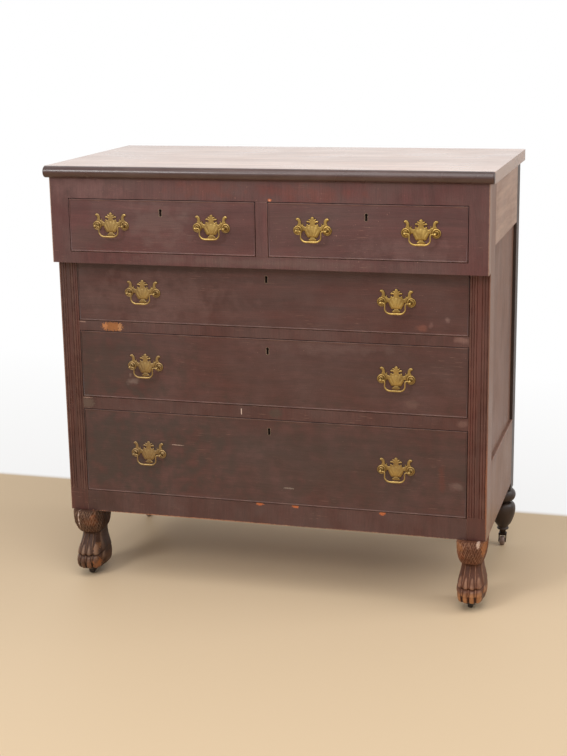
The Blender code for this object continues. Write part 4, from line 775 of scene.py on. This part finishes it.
# Locks: behind each keyhole a dark iron lock, whose bolt rises into the rail above; its face is painted near
# black as the shade in the hole. A band of painted shade widens the hole's black, inside a thread of thin
# brass let in round it.
KEYHOLE_BELOW_TOP = 0.025
KEYHOLE_RADIUS = 0.0028
KEYHOLE_SLOT = 0.0037
KEYHOLE_DROP = 0.0108
KEYHOLE_FOOT_RADIUS = 0.0026
KEYHOLE_STEPS = 16
BEAD_HEIGHT = 0.001
THREAD_WALL = 0.0005
THREAD_PROUD = 0.0002
SHADE_BAND_WIDTH = 0.0013
LINER_DEPTH = 0.0006
LOCK_BEHIND = 0.003
LOCK_MARGIN = 0.0008
BOLT_EASING = 0.0006
liner_and_shade_look = metal("dull keyhole liner", (5, 4, 4), (168, 146, 126), 0.5, 0.2)
shaded_lock_look = metal("shade_black lock iron", (6, 5, 5), (11, 9, 8), 0.7, 0.0)
# Both kept almost without reflection, so that their dark parts read as the hole's shade
for look in (liner_and_shade_look, shaded_lock_look):
    look.node_tree.nodes["Principled BSDF"].inputs["Specular IOR Level"].default_value = 0.08


def keyhole_face(shape, centre, y, shrink=0.0):
    """A keyhole's outline as one face at depth y: a round eye, a straight slot and a smaller round foot."""
    points = []
    for radius, middle, turn in ((KEYHOLE_RADIUS, 0.0, 1), (KEYHOLE_FOOT_RADIUS, -KEYHOLE_DROP, -1)):
        radius, half = radius - shrink, KEYHOLE_SLOT / 2 - shrink
        start = math.acos(half / radius)
        bow = [-start + (math.pi + 2 * start) * step / KEYHOLE_STEPS for step in range(KEYHOLE_STEPS + 1)]
        points += [(turn * radius * math.cos(a), middle + turn * radius * math.sin(a)) for a in bow]
    face = shape.faces.new([shape.verts.new((centre.x + x, y, centre.z + z)) for x, z in points])
    face.normal_update()
    return face


for drawer in drawers:
    low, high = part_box(f"{drawer}_drawer_front")
    face_y = low.y + BEAD_HEIGHT
    eye = Vector(((low.x + high.x) / 2, face_y, high.z - KEYHOLE_BELOW_TOP))
    liner_and_shade = bmesh.new()
    bright = liner_and_shade.faces.layers.float.new("proud")
    inside = keyhole_face(liner_and_shade, eye, face_y - THREAD_PROUD, -SHADE_BAND_WIDTH - THREAD_WALL)
    rim = bmesh.ops.inset_region(liner_and_shade, faces=[inside], thickness=THREAD_WALL, use_boundary=True)["faces"]
    for face in rim:
        face[bright] = 1.0
    # This wider ring is painted shade, widening the black of the hole
    rim += bmesh.ops.inset_region(liner_and_shade, faces=[inside], thickness=SHADE_BAND_WIDTH, use_boundary=True)["faces"]
    bmesh.ops.delete(liner_and_shade, geom=[inside], context="FACES_ONLY")
    pushed(liner_and_shade, rim, (0, LINER_DEPTH, 0), keep=True)
    bmesh.ops.recalc_face_normals(liner_and_shade, faces=liner_and_shade.faces)
    visible(f"{drawer}_keyhole_liner_and_shade", liner_and_shade, liner_and_shade_look, f"{drawer}_drawer")
    # A near-black plate at the back of the hole: the lock's face, painted as the hole's shade
    plug = bmesh.new()
    back_of_hole = keyhole_face(plug, eye, face_y + LOCK_BEHIND, LOCK_MARGIN)
    pushed(plug, [back_of_hole], (0, LINER_DEPTH, 0), keep=True)
    bmesh.ops.recalc_face_normals(plug, faces=plug.faces)
    visible(f"{drawer}_shaded_lock_face", plug, shaded_lock_look, f"{drawer}_drawer")
    finished(f"{drawer}_lock_bolt", worked(f"{drawer}_lock_bolt", BOLT_EASING), iron_look)

# Pulls: a cast brass back plate, chased with a leafy shield, scrolled ears and a crown of leaves. Two
# posts stand on the ears and carry the swinging bail. Studs on the posts' backs take a nut inside the
# drawer. The lacquer has gone, the raised work is rubbed bright and the hollows are brown.
PULL_BORE = 0.071
PLATE_DROP = 0.026
STUD_LENGTH = 0.027
POST_REACH = 0.018
POST_BALL = 0.0038
PLATE_GAP = 0.0003
FRONT_BOARD = 0.022
NUT_HALF = 0.004
NUT_THICKNESS = 0.003
NUT_SEAT = FRONT_BOARD + 0.0002
# The plate itself is drawn in millimetres, from its middle on the line of the posts.
CHASING_PITCH = 0.75
PLATE_HALF = 47
PLATE_FOOT = -26
PLATE_CROWN = 33
RIM_STEPS = 6
EAR_MIDDLE = PULL_BORE * 500
EAR_RADIUS = 11.8
EAR_SCROLL = 5.2
SHIELD_HALF = (17.5, 14.0)
FIELD_THICKNESS = 0.8
RIM_RISE = 1.2
BEADS = ((12.6, 13.6, 1.3), (38.0, 26.0, 1.5), (12.8, 20.6, 1.3), (22.8, 14.6, 1.2))
ear_turns = [math.radians(190 + 17.5 * step) for step in range(15)]
# The right half of its outline. Each run is one smooth curve, and they meet in points and notches.
PLATE_RUNS = (
    ((0, -25.9), (5.6, -25.6), (11.6, -23.6)),
    ((11.6, -23.6), (9.0, -20.8), (6.4, -18.8), (6.0, -17.0)),
    ((6.0, -17.0), (9.4, -17.6), (12.8, -15.8), (14.6, -12.4)),
    ((14.6, -12.4), (16.4, -9.4), (18.6, -5.0), (19.8, -1.4), (23.88, -2.05)),
    tuple((EAR_MIDDLE + EAR_RADIUS * math.cos(turn), EAR_RADIUS * math.sin(turn)) for turn in ear_turns),
    ((38.55, 11.4), (36.6, 13.8), (35.4, 17.6), (35.8, 21.0), (37.8, 23.2), (41.2, 24.2)),
    ((41.2, 24.2), (39.8, 28.0), (35.6, 29.8), (31.0, 27.6), (28.0, 22.8), (27.2, 17.0)),
    ((27.2, 17.0), (26.4, 14.2), (25.2, 13.0)),
    ((25.2, 13.0), (24.4, 15.8), (22.2, 16.6)),
    ((22.2, 16.6), (22.0, 12.8), (20.2, 10.0), (17.0, 8.6)),
    ((17.0, 8.6), (15.6, 10.2), (15.2, 12.8), (13.4, 15.8)),
    ((13.4, 15.8), (10.6, 14.8), (8.8, 12.8)),
    ((8.8, 12.8), (7.4, 14.4), (6.8, 16.8)),
    ((6.8, 16.8), (9.8, 18.2), (12.6, 17.8), (15.6, 20.2)),
    ((15.6, 20.2), (13.4, 23.0), (9.8, 23.2), (6.6, 22.0)),
    ((6.6, 22.0), (8.6, 24.0), (10.4, 27.0)),
    ((10.4, 27.0), (7.0, 27.4), (4.4, 26.2)),
    ((4.4, 26.2), (4.8, 29.0), (2.8, 31.4), (0, 32.9)),
)
brass_look = metal("aged brass", (104, 76, 38), (190, 160, 94), 0.36)
tree = brass_look.node_tree
shader = tree.nodes["Principled BSDF"]
polish = shader.inputs["Base Color"].links[0].from_socket
place = node(tree, "TexCoord", output="Object")
low_down = span(tree, node(tree, "SeparateXYZ", {0: place}, "Z"), 0.35, 0.95, 0.3, 0.0)
to_left = span(tree, node(tree, "SeparateXYZ", {0: place}, "X"), -0.4, 0.2, 0.4, 0.0)
dull = node(tree, "Math", {0: low_down, 1: to_left}, operation="ADD")
tree.links.new(tinted(tree, dull, polish, paint((132, 110, 86))), shader.inputs["Base Color"])


def plate_height(x, z, edge):
    """Thickness of the chased plate in millimetres, at x, z and that far in from its outline."""
    x = abs(x)
    thick = FIELD_THICKNESS + RIM_RISE * math.sqrt(min(edge / 2.0, 1.0))
    shield = 1 - eased(math.hypot(x / SHIELD_HALF[0], (z + 3) / SHIELD_HALF[1]), 0.75, 1.05)
    fan = math.atan2(x, z + 25.0)
    thick += 0.9 * shield * bump(math.hypot(x, z + 4), 0, 13.0)
    thick += 0.22 * shield * math.cos(fan * 22) * eased(math.hypot(x, z + 25), 8, 14)
    thick -= 0.5 * bump(z, -16.0, 1.6) * (1 - eased(x, 6, 9))
    thick += 0.45 * bump(x, 0, 0.9) * eased(z, 10, 14) * (1 - eased(z, 26, 32))
    around = math.atan2(z, x - EAR_MIDDLE)
    ear_reach = math.hypot(x - EAR_MIDDLE, z)
    scroll = math.cos(math.tau * ear_reach / EAR_SCROLL + around)
    thick += (0.65 * scroll - 0.35) * (1 - eased(ear_reach, 10.6, EAR_RADIUS)) * eased(ear_reach, 2.0, 3.4)
    for bead_x, bead_z, radius in BEADS:
        thick += 0.5 * bump(math.hypot(x - bead_x, z - bead_z), 0, radius)
    return thick


def pull_plate():
    """The plate in its own frame: its middle at the origin, its back just off the wood at y = 0."""
    right = [point for run in PLATE_RUNS for point in rounded(run, 3)[:-1]] + [PLATE_RUNS[-1][-1]]
    line = right + [(-x, z) for x, z in reversed(right[1:-1])]
    rim = kdtree.KDTree(len(line) * RIM_STEPS)
    for index, (a, b) in enumerate(zip(line, line[1:] + line[:1])):
        for step in range(RIM_STEPS):
            rim.insert(Vector((*a, 0)).lerp(Vector((*b, 0)), step / RIM_STEPS), index * RIM_STEPS + step)
    rim.balance()
    inner = [Vector((x, z))
             for x in np.arange(-PLATE_HALF, PLATE_HALF + 0.1, CHASING_PITCH)
             for z in np.arange(PLATE_FOOT, PLATE_CROWN + 0.1, CHASING_PITCH)
             if rim.find(Vector((x, z, 0)))[2] > CHASING_PITCH * 0.4]
    outline = [Vector(point) for point in line]
    closing = [(index, (index + 1) % len(line)) for index in range(len(line))]
    made = delaunay_2d_cdt(outline + inner, closing, [], 1, 1e-5)
    shape = bmesh.new()
    proud = shape.verts.layers.float.new("proud")
    corners = [shape.verts.new((x, 0, z)) for x, z in made[0]]
    for triangle in made[2]:
        shape.faces.new([corners[index] for index in triangle])
    bmesh.ops.delete(shape, geom=[vert for vert in shape.verts if not vert.link_faces], context="VERTS")
    for vert in pushed(shape, shape.faces[:], (0, 0, 0), keep=True):
        edge = rim.find(Vector((vert.co.x, vert.co.z, 0)))[2]
        thick = plate_height(vert.co.x, vert.co.z, edge)
        vert.co.y = -thick
        vert[proud] = (thick - 1.0) / 1.9
    bmesh.ops.scale(shape, verts=shape.verts, vec=(0.001, 0.001, 0.001))
    bmesh.ops.translate(shape, verts=shape.verts, vec=(0, -PLATE_GAP, 0))
    post = [(0, STUD_LENGTH), (0.0018, STUD_LENGTH), (0.002, STUD_LENGTH - 0.0004), (0.002, 0.0),
            (0.002, -0.001), (0.005, -0.0016), (0.0052, -0.003), (0.004, -0.0042), (0.0029, -0.0055),
            (0.0026, -0.009), (0.0025, -0.0136), (0.0033, -0.0146)]
    for turn in (math.radians(140 - 14 * step) for step in range(10)):
        post.append((POST_BALL * math.sin(turn), -POST_REACH - POST_BALL * math.cos(turn)))
    post.append((0, -POST_REACH - POST_BALL))
    for side in (-1, 1):
        before = set(shape.verts)
        turned(shape, post, (side * PULL_BORE / 2, 0, 0), (0, 1, 0), steps=20)
        for vert in set(shape.verts) - before:
            vert[proud] = 0.85 if vert.co.y < -0.01 else 0.35
        nut_low = (side * PULL_BORE / 2 - NUT_HALF, NUT_SEAT, -NUT_HALF)
        nut_high = (side * PULL_BORE / 2 + NUT_HALF, NUT_SEAT + NUT_THICKNESS, NUT_HALF)
        for vert in board(shape, nut_low, nut_high):
            vert[proud] = 0.4
    bmesh.ops.recalc_face_normals(shape, faces=shape.faces)
    return shape


BAIL_HALF_WIDTH = 0.025
BAIL_DROP = 0.0279
BAIL_GRIP = 0.0026
BAIL_BEND = 0.0039
BAIL_CORNER_WIDTH = 0.014
BAIL_CORNER_HEIGHT = 0.013
BAIL_SIDES = 14


def pull_bail():
    """The bail in its own frame, hanging from pins on the x axis: thin arms and a wider, flatter grip."""
    half, bend = BAIL_HALF_WIDTH, BAIL_BEND
    line = [(PULL_BORE / 2 + 0.0014, 0, 0.0015), (PULL_BORE / 2 - 0.003, 0, 0.0015),
            (half + bend * 1.1, 0.0002, 0.0015), (half + bend * 0.3, -bend * 0.2, 0.0018),
            (half - bend * 0.05, -bend * 1.1, 0.0018), (half - bend * 0.1, -bend * 2.2, 0.0018)]
    for step in range(5):
        angle = math.pi / 2 * (0.12 + 0.88 * step / 4)
        x = half - BAIL_CORNER_WIDTH * (1 - math.cos(angle))
        z = -BAIL_DROP + BAIL_GRIP + BAIL_CORNER_HEIGHT * (1 - math.sin(angle))
        line.append((x, z, 0.0018 + 0.0007 * step / 4))
    line += [(half * 0.2, -BAIL_DROP + BAIL_GRIP, 0.0027)]
    line = rounded(line + [(-x, z, radius) for x, z, radius in reversed(line)], 3)
    points = [line[0]] + line + [line[-1]]

    def place(column, row):
        x, z, radius = points[row]
        before, after = points[max(row - 1, 0)], points[min(row + 1, len(points) - 1)]
        ahead = Vector((after[0] - before[0], 0, after[1] - before[1]))
        ahead = ahead.normalized() if ahead.length else Vector((1, 0, 0))
        if row in (0, len(points) - 1):
            return Vector((x, 0, z)), 0.5
        angle = math.tau * column / BAIL_SIDES
        across = Vector((-ahead.z, 0, ahead.x)) * math.cos(angle) + Vector((0, 1, 0)) * math.sin(angle)
        return Vector((x, 0, z)) + across * radius, 0.65 + 0.35 * bump(x, 0, half * 0.7)

    shape = skin(bmesh.new(), BAIL_SIDES, len(points), place)
    bmesh.ops.recalc_face_normals(shape, faces=shape.faces)
    return shape


plate_pattern = bpy.data.meshes.new("pull plate pattern")
made = pull_plate()
made.to_mesh(plate_pattern)
made.free()
bail_pattern = bpy.data.meshes.new("pull bail pattern")
made = pull_bail()
made.to_mesh(bail_pattern)
made.free()
for drawer in drawers:
    for hand in ("left", "right"):
        low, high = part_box(f"{drawer}_{hand}_pull_plate")
        middle = Vector(((low.x + high.x) / 2, high.y - STUD_LENGTH, low.z + PLATE_DROP))
        for part, pattern, shift in (("plate", plate_pattern, 0.0), ("bail", bail_pattern, -POST_REACH)):
            shape = bmesh.new()
            shape.from_mesh(pattern)
            bmesh.ops.translate(shape, verts=shape.verts, vec=middle + Vector((0, shift, 0)))
            finished(f"{drawer}_{hand}_pull_{part}", shape, brass_look, SOFT_CREASE)

# Room: a plain pale floor that ends white behind the chest, and a white sky all round. Soft lamps hang
# overhead, in front on the left and at the right, and the camera stands where the photo was taken.
FLOOR_TINT = (231, 206, 172)
FLOOR_HALF = 14.0
WALL_LINE = 0.53
ALL_WHITE_LINE = 2.2
SKY_LEVEL = 0.38
SKY_TINT = (1.0, 0.94, 0.85, 1.0)
floor = bmesh.new()
bmesh.ops.create_grid(floor, x_segments=1, y_segments=1, size=FLOOR_HALF)
floor_mesh = bpy.data.meshes.new("floor")
floor.to_mesh(floor_mesh)
floor.free()
ground = bpy.data.objects.new("floor", floor_mesh)
bpy.context.scene.collection.objects.link(ground)
ground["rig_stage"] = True

floor_look = bpy.data.materials.new("pale floor")
floor_look.use_nodes = True
tree = floor_look.node_tree
place = node(tree, "TexCoord", output="Object")
beyond = span(tree, node(tree, "SeparateXYZ", {0: place}, "Y"), WALL_LINE - 0.01, WALL_LINE + 0.02)
shader = tree.nodes["Principled BSDF"]
tree.links.new(tinted(tree, beyond, paint(FLOOR_TINT), (0.95, 0.95, 0.95, 1.0)), shader.inputs["Base Color"])
shader.inputs["Roughness"].default_value = 0.6
rays = node(tree, "LightPath", output="Is Camera Ray")
glow = node(tree, "Emission", {"Color": (1.0, 1.0, 1.0, 1.0), "Strength": 1.0})
distant = span(tree, node(tree, "SeparateXYZ", {0: place}, "Y"), WALL_LINE, ALL_WHITE_LINE, 0.75, 1.0)
share = times(tree, times(tree, rays, beyond), distant)
mixed = node(tree, "MixShader", {0: share, 1: shader.outputs[0], 2: glow})
tree.links.new(mixed, tree.nodes["Material Output"].inputs["Surface"])
floor_mesh.materials.append(floor_look)

sky = bpy.data.worlds.new("white room")
sky.use_nodes = True
bpy.context.scene.world = sky
tree = sky.node_tree
rays = tree.nodes.new("ShaderNodeLightPath").outputs
seen = node(tree, "Math", {0: rays["Is Camera Ray"], 1: rays["Is Glossy Ray"]}, operation="MAXIMUM")
seen = node(tree, "Math", {0: seen, 1: rays["Is Transmission Ray"]}, operation="MAXIMUM")
background = tree.nodes["Background"]
tree.links.new(tinted(tree, seen, SKY_TINT, (1.0, 1.0, 1.0, 1.0)), background.inputs["Color"])
tree.links.new(span(tree, seen, 0.0, 1.0, SKY_LEVEL, 1.0), background.inputs["Strength"])


def lamp(name, place, target, width, power):
    """A square soft box that looks at a point."""
    light = bpy.data.lights.new(name, "AREA")
    light.shape = "SQUARE"
    light.size = width
    light.energy = power
    made = bpy.data.objects.new(name, light)
    made.location = place
    made.rotation_euler = (Vector(target) - Vector(place)).to_track_quat("-Z", "Y").to_euler()
    made.visible_camera = False
    bpy.context.scene.collection.objects.link(made)


lamp("ceiling lamp", (0.3, -1.5, 2.8), (0.0, -0.3, 0.5), 2.2, 37.0)
lamp("front lamp", (-2.2, -4.2, 3.2), (0.0, -0.3, 0.6), 1.2, 76.0)
lamp("right lamp", (3.2, 0.2, 2.6), (0.3, 0.0, 0.6), 1.8, 32.0)

CAMERA_PLACE = (1.0149, -3.3514 + UPPER_FACE, 1.4444)
CAMERA_YAW, CAMERA_PITCH, CAMERA_ROLL = 0.2807, 0.2437, -0.0166
CAMERA_LENS = 70.225
eye = bpy.data.cameras.new("camera")
eye.lens = CAMERA_LENS
eye.clip_start, eye.clip_end = 0.05, 100.0
camera = bpy.data.objects.new("camera", eye)
turn = Matrix.Rotation(CAMERA_YAW, 4, "Z") @ Matrix.Rotation(math.pi / 2 - CAMERA_PITCH, 4, "X")
camera.matrix_world = Matrix.Translation(CAMERA_PLACE) @ turn @ Matrix.Rotation(CAMERA_ROLL, 4, "Z")
bpy.context.scene.collection.objects.link(camera)
bpy.context.scene.camera = camera
bpy.context.scene.view_settings.view_transform = "Standard"

low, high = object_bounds()
